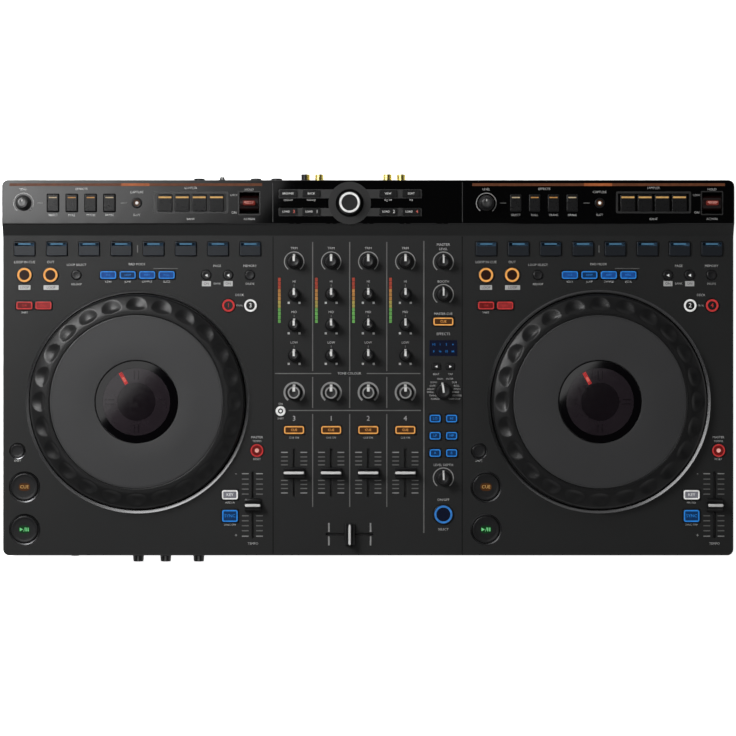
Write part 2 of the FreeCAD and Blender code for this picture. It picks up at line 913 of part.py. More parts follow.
slots = {alias: make_slot(alias) for alias in ("slot_length", "tempo_slot_length")}
fader_bodies = {alias: make_fader_body(alias) for alias in slots}
quarter_turn = FreeCAD.Rotation(FreeCAD.Vector(0, 0, 1), 90)

for site in FADERS:
    alias = site["slot"].removeprefix("dims.")
    fader = make_fader(site)
    slot = document.addObject("App::Link", f"{site['name']}_slot")
    slot.LinkedObject = slots[alias]
    track = document.addObject("App::Link", f"{site['name']}_body")
    track.LinkedObject = fader_bodies[alias]
    if site["across"]:
        for piece in (fader, slot, track):
            piece.Placement.Rotation = quarter_turn
    nodes[site["name"]] = place(fader, site["x"], site["y"], PANEL)
    panel_tools.append(place(slot, site["x"], site["y"], PANEL))
    board_parts.append(place(track, site["x"], site["y"], f"{PANEL} - {cell('board_drop')}"))


# ---------------------------------------------------------------- paddle levers

AXLE_HEIGHT = f"{BAR} - {cell('lever_axle_drop')}"


def make_lever(deck, side):
    """A drum on an axle along X, with an upright grip that stands through the window."""
    x = deck_point(side, cell("lever_x"))
    y = cell("bar_row")
    name = f"{deck}_hold_lever"
    along_x = FreeCAD.Rotation(FreeCAD.Vector(0, 1, 0), 90)
    drum_width = cell("lever_drum_width")
    roller = drum(f"{name}_drum", cell("lever_drum_radius"), drum_width)
    roller.Placement.Rotation = along_x
    place(roller, f"{x} - {drum_width} / 2", y, AXLE_HEIGHT)
    axle_length = f"({drum_width} + 4 * {cell('lever_bracket_thick')})"
    axle = drum(f"{name}_axle", cell("lever_axle_radius"), axle_length)
    axle.Placement.Rotation = along_x
    place(axle, f"{x} - {axle_length} / 2", y, AXLE_HEIGHT)
    grip_height = f"{cell('lever_grip_height')} + {cell('lever_axle_drop')}"
    grip = block(f"{name}_grip", cell("lever_grip_width"), cell("lever_grip_depth"), grip_height, x, y,
                 AXLE_HEIGHT)
    rounded = document.addObject("Part::Fillet", f"{name}_rounded_grip")
    rounded.Base = grip
    document.recompute()
    edge = read("lever_grip_edge")
    rounded.Edges = [(number, edge, edge) for number in range(1, len(grip.Shape.Edges) + 1)]
    nodes[name] = fuse(name, [roller, axle, rounded])
    window = block(f"{name}_window", cell("lever_window_width"), cell("lever_window_depth"),
                   f"4 * {cell('panel_thick')}", x, y, f"{BAR} - 2 * {cell('panel_thick')}")
    panel_tools.append(window)
    for hand in (-1, 1):
        bracket_x = f"{x} + {hand} * ({drum_width} / 2 + {cell('lever_bracket_thick')})"
        foot_z = f"{BAR} - {cell('board_drop')}"
        plate = block(f"{name}_bracket_{hand + 2}", cell("lever_bracket_thick"),
                      cell("lever_bracket_depth"), f"{cell('board_drop')} - {cell('panel_thick')}",
                      bracket_x, y, foot_z)
        bore = drum(f"{name}_bracket_bore_{hand + 2}", f"{cell('lever_axle_radius')} + {cell('shaft_gap')}",
                    f"4 * {cell('lever_bracket_thick')}")
        bore.Placement.Rotation = along_x
        place(bore, f"{bracket_x} - 2 * {cell('lever_bracket_thick')}", y, AXLE_HEIGHT)
        board_parts.append(cut(f"{name}_bracket_plate_{hand + 2}", plate, bore))


for deck, side in DECKS.items():
    make_lever(deck, side)


# ---------------------------------------------------------------- jog wheels

def turned(name, points):
    body = new_body(name)
    profile = new_sketch(body, f"{name}_profile", "XZ_Plane")
    profile_outline(profile, points)
    revolve(body, profile)
    return body


def make_jog_ring():
    """The outer ring: a sloping rim with finger scoops, a skirt and a ledge under the plate."""
    skirt_inside = f"{cell('jog_radius')} - {cell('jog_skirt_thick')}"
    body = turned("jog_ring", [
        (cell("jog_ledge_radius"), cell("jog_ledge_bottom")),
        (skirt_inside, cell("jog_ledge_bottom")),
        (skirt_inside, cell("jog_skirt_bottom")),
        (cell("jog_radius"), cell("jog_skirt_bottom")),
        (cell("jog_radius"), cell("jog_rim_top")),
        (cell("jog_shoulder"), cell("jog_top")),
        (cell("plate_radius"), cell("jog_top")),
        (cell("plate_radius"), cell("plate_bottom")),
        (cell("jog_ledge_radius"), cell("plate_bottom")),
    ])
    scoop = body.newObject("PartDesign::SubtractiveEllipsoid", "scoop")
    scoop.AttachmentSupport = [(origin_plane(body, "XY_Plane"), "")]
    scoop.MapMode = "FlatFace"
    bind(scoop, "Radius1", f"2 * {cell('scoop_depth')}")
    bind(scoop, "Radius2", cell("scoop_width"))
    bind(scoop, "Radius3", cell("scoop_length"))
    rim_middle = f"({cell('jog_top')} + {cell('jog_rim_top')}) / 2"
    bind(scoop, "AttachmentOffset.Base.x", cell("scoop_ring"))
    bind(scoop, "AttachmentOffset.Base.z", f"{rim_middle} + {cell('scoop_depth')}")
    document.recompute()
    scoops = body.newObject("PartDesign::PolarPattern", "scoops")
    scoops.Originals = [scoop]
    scoops.Axis = (next(a for a in body.Origin.OriginFeatures if a.Role == "Z_Axis"), [""])
    scoops.Angle = 360
    bind(scoops, "Occurrences", cell("scoop_count"))
    body.Tip = scoops
    document.recompute()
    return body


def make_jog_plate():
    """The flat touch plate with the hub that turns on the bearing post."""
    hub_bore = f"{cell('bearing_radius')} + {cell('hub_gap')}"
    centre_hole = f"{cell('display_radius')} + {cell('display_gap')}"
    web_top = f"{cell('plate_bottom')} + {cell('plate_web')}"
    return turned("jog_plate", [
        (hub_bore, cell("hub_bottom")),
        (cell("hub_radius"), cell("hub_bottom")),
        (cell("hub_radius"), cell("plate_bottom")),
        (cell("plate_radius"), cell("plate_bottom")),
        (cell("plate_radius"), cell("jog_top")),
        (centre_hole, cell("jog_top")),
        (centre_hole, web_top),
        (hub_bore, web_top),
    ])


FLOOR_TOP = f"({cell('foot_height')} + {cell('floor_thick')})"


def make_jog_post():
    """The fixed hollow bearing post with the display housing on its head."""
    foot_top = f"{FLOOR_TOP} + {cell('bearing_foot_thick')}"
    head_inside = f"{cell('display_bottom')} + {cell('wall')}"
    return turned("jog_post", [
        (cell("bearing_bore"), FLOOR_TOP),
        (cell("bearing_foot_radius"), FLOOR_TOP),
        (cell("bearing_foot_radius"), foot_top),
        (cell("bearing_radius"), foot_top),
        (cell("bearing_radius"), cell("display_bottom")),
        (cell("display_radius"), cell("display_bottom")),
        (cell("display_radius"), cell("display_top")),
        ("0", cell("display_top")),
        ("0", head_inside),
        (cell("bearing_bore"), head_inside),
    ])


def make_jog_dish():
    """The flat ring under the panel that closes the well which the jog wheel stands in."""
    dish_top = f"{PANEL} - {cell('panel_thick')}"
    dish_bottom = f"{dish_top} - {cell('dish_thick')}"
    return turned("jog_dish", [
        (cell("dish_bore"), dish_bottom),
        (cell("dish_radius"), dish_bottom),
        (cell("dish_radius"), dish_top),
        (cell("dish_bore"), dish_top),
    ])


jog_ring = make_jog_ring()
jog_plate = make_jog_plate()
jog_post = make_jog_post()
jog_dish = make_jog_dish()
mount_pieces = []
for deck, side in DECKS.items():
    deck_x = deck_point(side, "0")
    nodes[f"{deck}_jog_ring"] = copy_of(jog_ring, f"{deck}_jog_ring", deck_x, cell("deck_y"), "0")
    nodes[f"{deck}_jog_plate"] = copy_of(jog_plate, f"{deck}_jog_plate", deck_x, cell("deck_y"), "0")
    mount_pieces.append(copy_of(jog_post, f"{deck}_jog_post", deck_x, cell("deck_y"), "0"))
    mount_pieces.append(copy_of(jog_dish, f"{deck}_jog_dish", deck_x, cell("deck_y"), "0"))
    well = drum(f"{deck}_jog_well", cell("jog_opening"), f"4 * {cell('panel_thick')}", deck_x,
                cell("deck_y"), f"{PANEL} - 2 * {cell('panel_thick')}")
    bezel = document.addObject("Part::Cone", f"{deck}_jog_bezel")
    bind(bezel, "Radius1", cell("jog_opening"))
    bind(bezel, "Radius2", cell("jog_bezel"))
    bind(bezel, "Height", cell("jog_bezel_drop"))
    place(bezel, deck_x, cell("deck_y"), f"{PANEL} - {cell('jog_bezel_drop')}")
    panel_tools.append(fuse(f"{deck}_jog_hole", [well, bezel]))
nodes["jog_mounts"] = group("jog_mounts", mount_pieces)


# ---------------------------------------------------------------- case

SCREW_SITES = [(x, y) for x in ("outer", "middle") for y in (-1, 1)]


def screw_places():
    """X, Y and rear flag of each case screw."""
    for reach, end in SCREW_SITES:
        for hand in (-1, 1):
            yield f"{hand} * {cell('screw_x_' + reach)}", f"{end} * {cell('screw_y')}", end > 0


def wall_hole(name, radius, x, z, rear):
    """A round hole through the front or the rear wall."""
    hole = drum(name, radius, f"4 * {cell('wall')}")
    turn_about_x(hole, -90 if rear else 90)
    sign = "" if rear else "-"
    y = f"{sign}({HALF_DEPTH} - 2 * {cell('wall')})"
    return place(hole, x, y, z)


def wall_holes():
    """Every hole in the front and rear walls, for the sockets and the wall knobs."""
    knob_hole = f"{cell('shaft_radius')} + {cell('gap')}"
    jack_hole = f"{cell('jack_barrel')} + {cell('screw_gap')}"
    phono_hole = f"{cell('phono_neck')} + {cell('screw_gap')}"
    holes = []
    for name, x in FRONT_KNOBS.items():
        holes.append(wall_hole(f"{name}_hole", knob_hole, x, cell("front_knob_z"), False))
    holes.append(wall_hole("phones_hole", jack_hole, cell("phones_x"), cell("front_knob_z"), False))
    holes.append(wall_hole("mic_knob_hole", knob_hole, cell("mic_knob_x"), cell("rear_row"), True))
    for name, x in JACKS.items():
        holes.append(wall_hole(f"{name}_hole", jack_hole, x, cell("rear_row"), True))
    for name, (x, z) in PHONOS.items():
        holes.append(wall_hole(f"{name}_hole", phono_hole, x, z, True))
    power_hole = f"{cell('power_radius')} + {cell('screw_gap')}"
    holes.append(wall_hole("power_hole", power_hole, cell("power_x"), cell("rear_row"), True))
    for name, x in USB_PORTS.items():
        opening = block(f"{name}_hole", f"{cell('usb_width')} + 2 * {cell('screw_gap')}",
                        f"4 * {cell('wall')}", f"{cell('usb_height')} + 2 * {cell('screw_gap')}",
                        x, HALF_DEPTH, f"{cell('rear_row')} - {cell('usb_height')} / 2 - {cell('screw_gap')}")
        holes.append(opening)
    return holes


JACKS = {
    "mic_jack": cell("mic_jack_x"),
    "booth_jack_left": cell("booth_jack_x"),
    "booth_jack_right": f"{cell('booth_jack_x')} + {cell('booth_jack_pitch')}",
}
PHONOS = {}
for group_name, first in (("line", cell("phono_left_x")), ("phono", cell("phono_right_x"))):
    for column in range(2):
        for level in range(2):
            PHONOS[f"{group_name}_socket_{2 * column + level + 1}"] = (
                f"{first} + {cell('phono_pitch')} * {column}",
                f"{cell('phono_low')} + {cell('phono_rise')} * {level}",
            )
USB_PORTS = {
    "usb_port_1": cell("usb_x"),
    "usb_port_2": f"{cell('usb_x')} + {cell('usb_pitch')}",
}


def make_bottom_case():
    """The lower tray: floor, walls, holes for sockets and screws, and standoffs for the main board."""
    body = new_body("tray")
    outline = new_sketch(body, "tray_outline", "XY_Plane", cell("foot_height"))
    rounded_outline(outline, cell("case_width"), cell("case_depth"), cell("case_corner"))
    base = pad(body, outline, f"{cell('split_height')} - {cell('foot_height')}", name="outside")
    dress(body, "Chamfer", base, edges_at(body.Shape, read("foot_height")), cell("case_edge"))
    inside = new_sketch(body, "tray_inside", "XY_Plane", cell("split_height"))
    rounded_outline(inside, f"{cell('case_width')} - 2 * {cell('wall')}",
                    f"{cell('case_depth')} - 2 * {cell('wall')}", f"{cell('case_corner')} - {cell('wall')}")
    pocket(body, inside, f"{cell('split_height')} - {FLOOR_TOP}", name="inside")
    holes = wall_holes()
    for number, (x, y, _) in enumerate(screw_places(), start=1):
        shank_radius = f"{cell('screw_radius')} + {cell('screw_gap')}"
        holes.append(drum(f"screw_clearance_{number}", shank_radius, f"2 * {cell('floor_thick')}", x, y,
                          cell("foot_height")))
        head_radius = f"{cell('screw_head_radius')} + {cell('screw_gap')}"
        head_sink = f"{cell('screw_head_thick')} + {cell('screw_gap')}"
        holes.append(drum(f"screw_sink_{number}", head_radius, head_sink, x, y, cell("foot_height")))
    walls = cut("tray_with_holes", body, group("tray_holes", holes))
    standoffs = []
    for hand in (-1, 1):
        for end in (-1, 1):
            standoffs.append(drum(
                f"standoff_{len(standoffs) + 1}", cell("board_post_radius"),
                f"{cell('main_board_z')} - {FLOOR_TOP}",
                f"{hand} * {cell('main_post_x')}",
                f"{cell('main_board_y')} + {end} * {cell('main_post_y')}", FLOOR_TOP,
            ))
    return fuse("bottom_case", [walls] + standoffs)


def make_panel_shell():
    """The upper case: a flat panel, a slope up to the raised bar, a rim all round, hollow below."""
    half = HALF_DEPTH
    inner = f"({half} - {cell('wall')})"
    bed_top = f"{BAR} - {cell('fascia_thick')}"
    under_panel = f"{PANEL} - {cell('panel_thick')}"
    under_bar = f"{BAR} - {cell('panel_thick')}"
    body = new_body("panel_shell")
    side_view = new_sketch(body, "panel_side_view", "YZ_Plane")
    profile_outline(side_view, [
        (f"-{half}", cell("split_height")),
        (half, cell("split_height")),
        (half, bed_top),
        (cell("bar_front"), bed_top),
        (cell("slope_front"), PANEL),
        (f"-{half}", PANEL),
    ])
    solid = pad(body, side_view, cell("case_width"), symmetric=True, name="solid")
    corners = dress(body, "Fillet", solid, upright_edges(body.Shape), cell("case_corner"))
    dress(body, "Chamfer", corners, rim_edges(body), cell("case_edge"))
    hollow = new_sketch(body, "panel_hollow", "YZ_Plane")
    profile_outline(hollow, [
        (f"-{inner}", cell("split_height")),
        (inner, cell("split_height")),
        (inner, under_bar),
        (f"{cell('bar_front')} + {cell('wall')} / 2", under_bar),
        (f"{cell('slope_front')} + {cell('wall')} / 2", under_panel),
        (f"-{inner}", under_panel),
    ])
    pocket(body, hollow, f"{cell('case_width')} - 2 * {cell('wall')}", symmetric=True, name="hollow")
    return body


def rim_edges(body):
    """The panel's outer edge along the front and both sides, at the panel's own height."""
    top = read("panel_height")
    names = []
    for index, edge in enumerate(body.Shape.Edges, start=1):
        box = edge.BoundBox
        level = abs(box.ZMin - top) < 1e-4 and abs(box.ZMax - top) < 1e-4
        across = box.XLength > read("case_width") - 1e-3
        if level and not (across and box.YMin > 0):
            names.append(f"Edge{index}")
    return names


def windows():
    """Shallow seats in the flat panel for the small display and the four level meters."""
    sink = cell("window_sink")
    seats = [block("display_seat", cell("display_width"), cell("display_depth"), f"2 * {sink}",
                   cell("master_x"), cell("display_row"), f"{PANEL} - {sink}")]
    for channel, step in CHANNEL_STEPS.items():
        x = f"{channel_x(step)} + {cell('meter_offset')}"
        seats.append(block(f"meter_seat_{channel}", cell("meter_width"), cell("meter_length"),
                           f"2 * {sink}", x, cell("meter_row"), f"{PANEL} - {sink}"))
    return seats


def panel_posts():
    """Posts under the panel: one for each case screw, and short ones that hold the boards."""
    posts = []
    for number, (x, y, rear) in enumerate(screw_places(), start=1):
        under = f"{BAR if rear else PANEL} - {cell('panel_thick')}"
        post = drum(f"screw_post_{number}", cell("post_radius"), f"{under} - {FLOOR_TOP}", x, y, FLOOR_TOP)
        pilot_radius = f"{cell('screw_radius')} + {cell('screw_gap')}"
        pilot = drum(f"screw_pilot_{number}", pilot_radius, cell("screw_length"), x, y, FLOOR_TOP)
        posts.append(cut(f"drilled_post_{number}", post, pilot))
    sites = []
    for side in DECKS.values():
        for hand in (-1, 1):
            pad_gap = f"{hand * 2} * {cell('pad_pitch')}"
            sites.append((deck_point(side, pad_gap), cell("pad_row"), PANEL))
            sites.append((deck_point(side, f"{hand} * {cell('deck_post_x')}"), cell("deck_post_y"), PANEL))
        sites.append((deck_point(side, cell("bar_post_left")), cell("bar_row"), BAR))
        sites.append((deck_point(side, cell("bar_post_right")), cell("bar_row"), BAR))
    for step in (-1, 1):
        sites.append((channel_x(step), cell("mixer_post_rear"), PANEL))
        sites.append((channel_x(step), cell("mixer_post_front"), PANEL))
    for number, (x, y, surface) in enumerate(sites, start=1):
        board_top = f"{surface} - {cell('board_drop')}"
        posts.append(drum(f"board_post_{number}", cell("board_post_radius"),
                          f"{cell('board_drop')} - {cell('panel_thick')}", x, y, board_top))
    return posts


def make_fascia():
    """The gloss plate on the raised bar, rounded at its two rear corners."""
    body = new_body("fascia_plate")
    bed_top = f"{BAR} - {cell('fascia_thick')}"
    side_view = new_sketch(body, "fascia_side_view", "YZ_Plane")
    profile_outline(side_view, [
        (cell("bar_front"), bed_top),
        (HALF_DEPTH, bed_top),
        (HALF_DEPTH, BAR),
        (cell("bar_front"), BAR),
    ])
    plate = pad(body, side_view, cell("case_width"), symmetric=True, name="plate")
    rear = []
    for name in upright_edges(body.Shape):
        edge = body.Shape.getElement(name)
        if edge.BoundBox.YMin > read("bar_front") + 1:
            rear.append(name)
    corners = dress(body, "Fillet", plate, rear, cell("case_corner"))
    dress(body, "Chamfer", corners, edges_at(body.Shape, read("bar_height")), f"{cell('case_edge')} / 2")
    return body


panel_cutters = group("panel_cutters", panel_tools)
seated_shell = cut("panel_with_seats", make_panel_shell(), group("window_seats", windows()))
opened_shell = cut("panel_with_openings", seated_shell, panel_cutters)
nodes["top_panel"] = fuse("top_panel", [opened_shell] + panel_posts())
nodes["bar_fascia"] = cut("bar_fascia", make_fascia(), panel_cutters)
nodes["bottom_case"] = make_bottom_case()


# ---------------------------------------------------------------- feet and screws

feet = []
for column in (-1, 0, 1):
    for end in (-1, 1):
        foot_x = f"{column} * ({cell('case_width')} / 2 - {cell('foot_inset')})"
        foot_y = f"{end} * ({HALF_DEPTH} - {cell('foot_inset')})"
        feet.append(drum(f"foot_{len(feet) + 1}", cell("foot_radius"), cell("foot_height"), foot_x, foot_y))
nodes["feet"] = group("feet", feet)


def make_screw():
    """A pan-head screw, head down, with its thread drawn as a plain shank."""
    head_top = cell("screw_head_thick")
    return turned("case_screw", [
        ("0", "0"),
        (cell("screw_head_radius"), "0"),
        (cell("screw_head_radius"), head_top),
        (cell("screw_radius"), head_top),
        (cell("screw_radius"), cell("screw_length")),
        ("0", cell("screw_length")),
    ])


screw = make_screw()
screws = []
for x, y, _ in screw_places():
    screws.append(copy_of(screw, f"screw_{len(screws) + 1}", x, y, f"{cell('foot_height')} + {cell('screw_gap')}"))
nodes["case_screws"] = group("case_screws", screws)


# ---------------------------------------------------------------- boards and control bodies

def board(name, width, front, rear, x, top):
    depth = f"({rear} - ({front}))"
    middle = f"({rear} + {front}) / 2"
    return block(name, width, depth, cell("board_thick"), x, middle, f"{top} - {cell('board_thick')}")


PANEL_BOARD_TOP = f"{PANEL} - {cell('board_drop')}"
BAR_BOARD_TOP = f"{BAR} - {cell('board_drop')}"
boards = []
lever_cutouts = []
for deck, side in DECKS.items():
    sheet_blank = board(f"{deck}_board_blank", cell("deck_board_width"), cell("board_front"),
                        cell("board_rear"), deck_point(side, "0"), PANEL_BOARD_TOP)
    jog_clear = drum(f"{deck}_board_bore", cell("deck_board_bore"), cell("panel_height"),
                     deck_point(side, "0"), cell("deck_y"))
    boards.append(cut(f"{deck}_deck_board", sheet_blank, jog_clear))
    lever_cutouts.append(block(
        f"{deck}_lever_cutout", f"{cell('lever_drum_width')} + 2 * {cell('gap')}", cell("lever_cutout"),
        BAR, deck_point(side, cell("lever_x")), cell("bar_row"),
    ))
boards.append(board("mixer_board", cell("mixer_board_width"), cell("board_front"), cell("board_rear"),
                    cell("mixer_board_x"), PANEL_BOARD_TOP))
bar_blank = board("bar_board_blank", cell("bar_board_width"), cell("bar_board_front"),
                  cell("bar_board_rear"), "0", BAR_BOARD_TOP)
boards.append(cut("bar_board", bar_blank, group("lever_cutouts", lever_cutouts)))
boards.append(block("main_board", cell("main_board_width"), cell("main_board_depth"), cell("board_thick"),
                    "0", cell("main_board_y"), cell("main_board_z")))
boards.append(block("front_board", cell("front_board_width"), cell("board_thick"), cell("front_board_tall"),
                    cell("phones_mix_x"),
                    f"-{KNOB_SEAT} + {cell('board_drop')} + {cell('board_thick')} / 2",
                    f"{cell('front_knob_z')} - {cell('front_board_tall')} / 2"))
nodes["circuit_boards"] = group("circuit_boards", boards)

for name, x in FRONT_KNOBS.items():
    pot = copy_of(pot_template, f"{name}_pot", x, f"-{KNOB_SEAT} + {cell('board_drop')}", cell("front_knob_z"))
    turn_about_x(pot, 90)
    board_parts.append(pot)
mic_pot = copy_of(pot_template, "mic_level_knob_pot", cell("mic_knob_x"),
                  f"{KNOB_SEAT} - {cell('board_drop')}", cell("rear_row"))
turn_about_x(mic_pot, -90)
board_parts.append(mic_pot)
nodes["control_bodies"] = group("control_bodies", board_parts)


# ---------------------------------------------------------------- sockets

def make_jack(name, nut_radius, nut_thick):
    """A 6.3 mm jack socket, mouth up: nut outside the wall, barrel through it, body behind it."""
    return turned(name, [
        (cell("jack_bore"), nut_thick),
        (nut_radius, nut_thick),
        (nut_radius, "0"),
        (cell("jack_barrel"), "0"),
        (cell("jack_barrel"), f"-{cell('wall')}"),
        (cell("jack_body"), f"-{cell('wall')}"),
        (cell("jack_body"), f"-{cell('jack_depth')}"),
        ("0", f"-{cell('jack_depth')}"),
        ("0", f"-{cell('jack_bore_depth')}"),
        (cell("jack_bore"), f"-{cell('jack_bore_depth')}"),
    ])


def make_phono():
    """A phono socket, mouth up: a plated barrel with a centre hole, and a wider neck in the wall."""
    hole_end = f"{cell('phono_length')} - {cell('phono_bore_depth')}"
    return turned("phono_socket", [
        (cell("phono_bore"), cell("phono_length")),
        (cell("phono_radius"), cell("phono_length")),
        (cell("phono_radius"), "0"),
        (cell("phono_neck"), "0"),
        (cell("phono_neck"), f"-{cell('wall')}"),
        (cell("phono_body"), f"-{cell('wall')}"),
        (cell("phono_body"), f"-{cell('phono_depth')}"),
        ("0", f"-{cell('phono_depth')}"),
        ("0", hole_end),
        (cell("phono_bore"), hole_end),
    ])


def make_power_inlet():
    """A round low-voltage inlet, mouth up and flush with the wall, with its centre pin."""
    return turned("power_inlet", [
        (cell("power_bore"), "0"),
        (cell("power_radius"), "0"),
        (cell("power_radius"), f"-{cell('power_depth')}"),
        ("0", f"-{cell('power_depth')}"),
        ("0", f"-{cell('power_pin')}"),
        (cell("power_pin"), f"-{cell('power_pin')}"),
        (cell("power_pin"), f"-{cell('power_mouth_depth')}"),
        (cell("power_bore"), f"-{cell('power_mouth_depth')}"),
    ])


def make_usb_port():
    """A square USB port, mouth up and flush with the wall, with the tongue inside it."""
    shell = block("usb_shell", cell("usb_width"), cell("usb_height"), cell("usb_depth"),
                  z=f"-{cell('usb_depth')}")
    mouth = block("usb_mouth", cell("usb_mouth_width"), cell("usb_mouth_height"), cell("usb_mouth_depth"),
                  z=f"-{cell('usb_mouth_depth')}")
    tongue = block("usb_tongue", cell("usb_tongue_width"), cell("usb_tongue_height"),
                   f"{cell('usb_depth')} - {cell('power_pin')}", z=f"-{cell('usb_depth')}")
    return fuse("usb_port", [cut("usb_hollow", shell, mouth), tongue])


def rear_copy(template, name, x, z):
    link = copy_of(template, name, x, HALF_DEPTH, z)
    turn_about_x(link, -90)
    return link


rear_jack = make_jack("rear_jack", cell("jack_nut"), cell("jack_nut_thick"))
phones_jack = make_jack("phones_jack", cell("phones_nut"), cell("phones_nut_thick"))
phono_socket = make_phono()
usb_port = make_usb_port()
sockets = []
for name, x in JACKS.items():
    sockets.append(rear_copy(rear_jack, name, x, cell("rear_row")))
for name, (x, z) in PHONOS.items():
    sockets.append(rear_copy(phono_socket, name, x, z))
for name, x in USB_PORTS.items():
    sockets.append(rear_copy(usb_port, name, x, cell("rear_row")))
sockets.append(rear_copy(make_power_inlet(), "power_socket", cell("power_x"), cell("rear_row")))
front_jack = copy_of(phones_jack, "phones_socket", cell("phones_x"), f"-{HALF_DEPTH}", cell("front_knob_z"))
turn_about_x(front_jack, 90)
sockets.append(front_jack)
nodes["sockets"] = group("sockets", sockets)


# ---------------------------------------------------------------- checks and files

document.recompute()
for item in document.Objects:
    if "Invalid" in item.State or "Error" in item.State:
        raise RuntimeError(f"{item.Name} failed: {item.State}")
for name, item in nodes.items():
    item.Label = name
    shape = Part.getShape(item)
    if shape.isNull() or not shape.isValid():
        raise RuntimeError(f"{name} has no valid shape")
os.makedirs("parts", exist_ok=True)
for name, item in nodes.items():
    Part.getShape(item).exportStep(f"parts/{name}.step")
print(f"{len(nodes)} sub-parts written")
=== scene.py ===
import math

import bmesh
import bpy
from mathutils import Matrix, Vector


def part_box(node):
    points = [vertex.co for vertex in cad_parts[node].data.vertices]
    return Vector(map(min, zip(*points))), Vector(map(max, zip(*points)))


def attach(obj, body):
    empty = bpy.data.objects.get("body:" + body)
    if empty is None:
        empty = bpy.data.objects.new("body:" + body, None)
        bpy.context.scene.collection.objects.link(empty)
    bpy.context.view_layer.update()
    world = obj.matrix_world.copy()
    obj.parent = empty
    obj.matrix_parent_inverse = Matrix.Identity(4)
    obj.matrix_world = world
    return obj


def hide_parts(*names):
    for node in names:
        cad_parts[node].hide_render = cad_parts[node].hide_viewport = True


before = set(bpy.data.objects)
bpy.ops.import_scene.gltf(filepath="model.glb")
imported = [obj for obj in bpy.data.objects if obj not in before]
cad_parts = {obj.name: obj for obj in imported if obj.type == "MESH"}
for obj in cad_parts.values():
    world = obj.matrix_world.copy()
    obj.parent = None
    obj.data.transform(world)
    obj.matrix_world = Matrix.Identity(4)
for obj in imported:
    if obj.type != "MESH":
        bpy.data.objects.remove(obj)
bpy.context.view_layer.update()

# A four-channel DJ mixer with two jog-wheel decks. Sizes below are in millimetres. Places are taken
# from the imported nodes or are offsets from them. Each mesh is scaled to metres as it is finished.

MM = 0.001


# ---- places taken from the frame

def box_mm(node):
    low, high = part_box(node)
    return low / MM, high / MM


def middle_mm(node):
    low, high = box_mm(node)
    return (low + high) / 2


DECKS = ("left", "right")
CHANNELS = ("three", "one", "two", "four")
NUMERALS = {"three": "3", "one": "1", "two": "2", "four": "4"}
DECK_NUMBERS = {"left": "13", "right": "24"}

# how far caps and pads stand over the panel, and how far windows are let into it
CAP_PROUD = 1.4
PAD_PROUD = 2.0
SINK = 0.8

DECK_X = {deck: middle_mm(f"{deck}_jog_plate").x for deck in DECKS}
DECK_Y = middle_mm("left_jog_plate").y
JOG_TOP = box_mm("left_jog_plate")[1].z
PANEL = box_mm("left_deck_buttons")[1].z - CAP_PROUD
BAR = box_mm("bar_fascia")[1].z
BAR_FRONT = box_mm("bar_fascia")[0].y
MIXER_X = middle_mm("crossfader").x
CHANNEL_X = {name: middle_mm(f"channel_fader_{name}").x for name in CHANNELS}
CHANNEL_PITCH = CHANNEL_X["one"] - CHANNEL_X["three"]
MASTER_X = middle_mm("master_level_knob").x
FADER_ROW = middle_mm("channel_fader_one").y
CROSSFADER_ROW = middle_mm("crossfader").y
TEMPO_OFFSET = middle_mm("left_tempo_slider").x - DECK_X["left"]
TEMPO_ROW = middle_mm("left_tempo_slider").y
LEVER_OFFSET = middle_mm("left_hold_lever").x - DECK_X["left"]
BAR_ROW = middle_mm("browse_encoder").y
PAD_ROW = middle_mm("left_performance_pads").y

# rows and offsets of the buttons, from the middle of a deck or of the mixer
PAD_PITCH = 30.95
MODE_ROW = 89.3
MODE_PITCH = 18.7
LOOP_OFFSETS = (-108.5, -83.5)
SELECT_OFFSET = -58.6
PARAMETER_OFFSETS = (66.2, 87.1, 108.0)
CALL_ROW = 60.0
CALL_OFFSETS = (-108.5, -90.2)
LINE_ROW = 175.6
LEVER_AXLE = 7.0
DECK_SELECT_OFFSETS = (87.4, 108.5)
SHIFT_PLACE = (-115.2, -79.7)
CUE_PLACE = (-108.5, -114.2)
PLAY_PLACE = (-108.5, -155.0)
RESET_PLACE = (114.7, -79.2)
KEY_PLACE = (88.8, -121.7)
SYNC_PLACE = (88.8, -142.0)
EFFECT_OFFSETS = (-80.3, -62.27, -44.24, -26.21)
GROUP_OFFSETS = (27.0, 43.43, 59.86, 76.29)
LOAD_OFFSETS = (-58.9, -36.8, 36.8, 58.9)
LOAD_ROWS = (167.0, 149.7)
CHANNEL_CUE_ROW = -59.5
MASTER_CUE_ROW = 44.6
DISPLAY_ROW = 19.2
DISPLAY_SWITCH_ROW = 1.4
EFFECT_KEY_ROWS = (-48.5, -65.05, -81.6)
EFFECT_KEY_REACH = 7.9
EFFECT_ON_ROW = -140.6
MIXER_SWITCH_PLACE = (-84.2, -41.3)
METER_ROW = 65.0
METER_LENGTH = 43.7
METER_OFFSET = -14.2


# ---- materials

def shade(color, factor):
    return tuple(min(1.0, channel * factor) for channel in color)


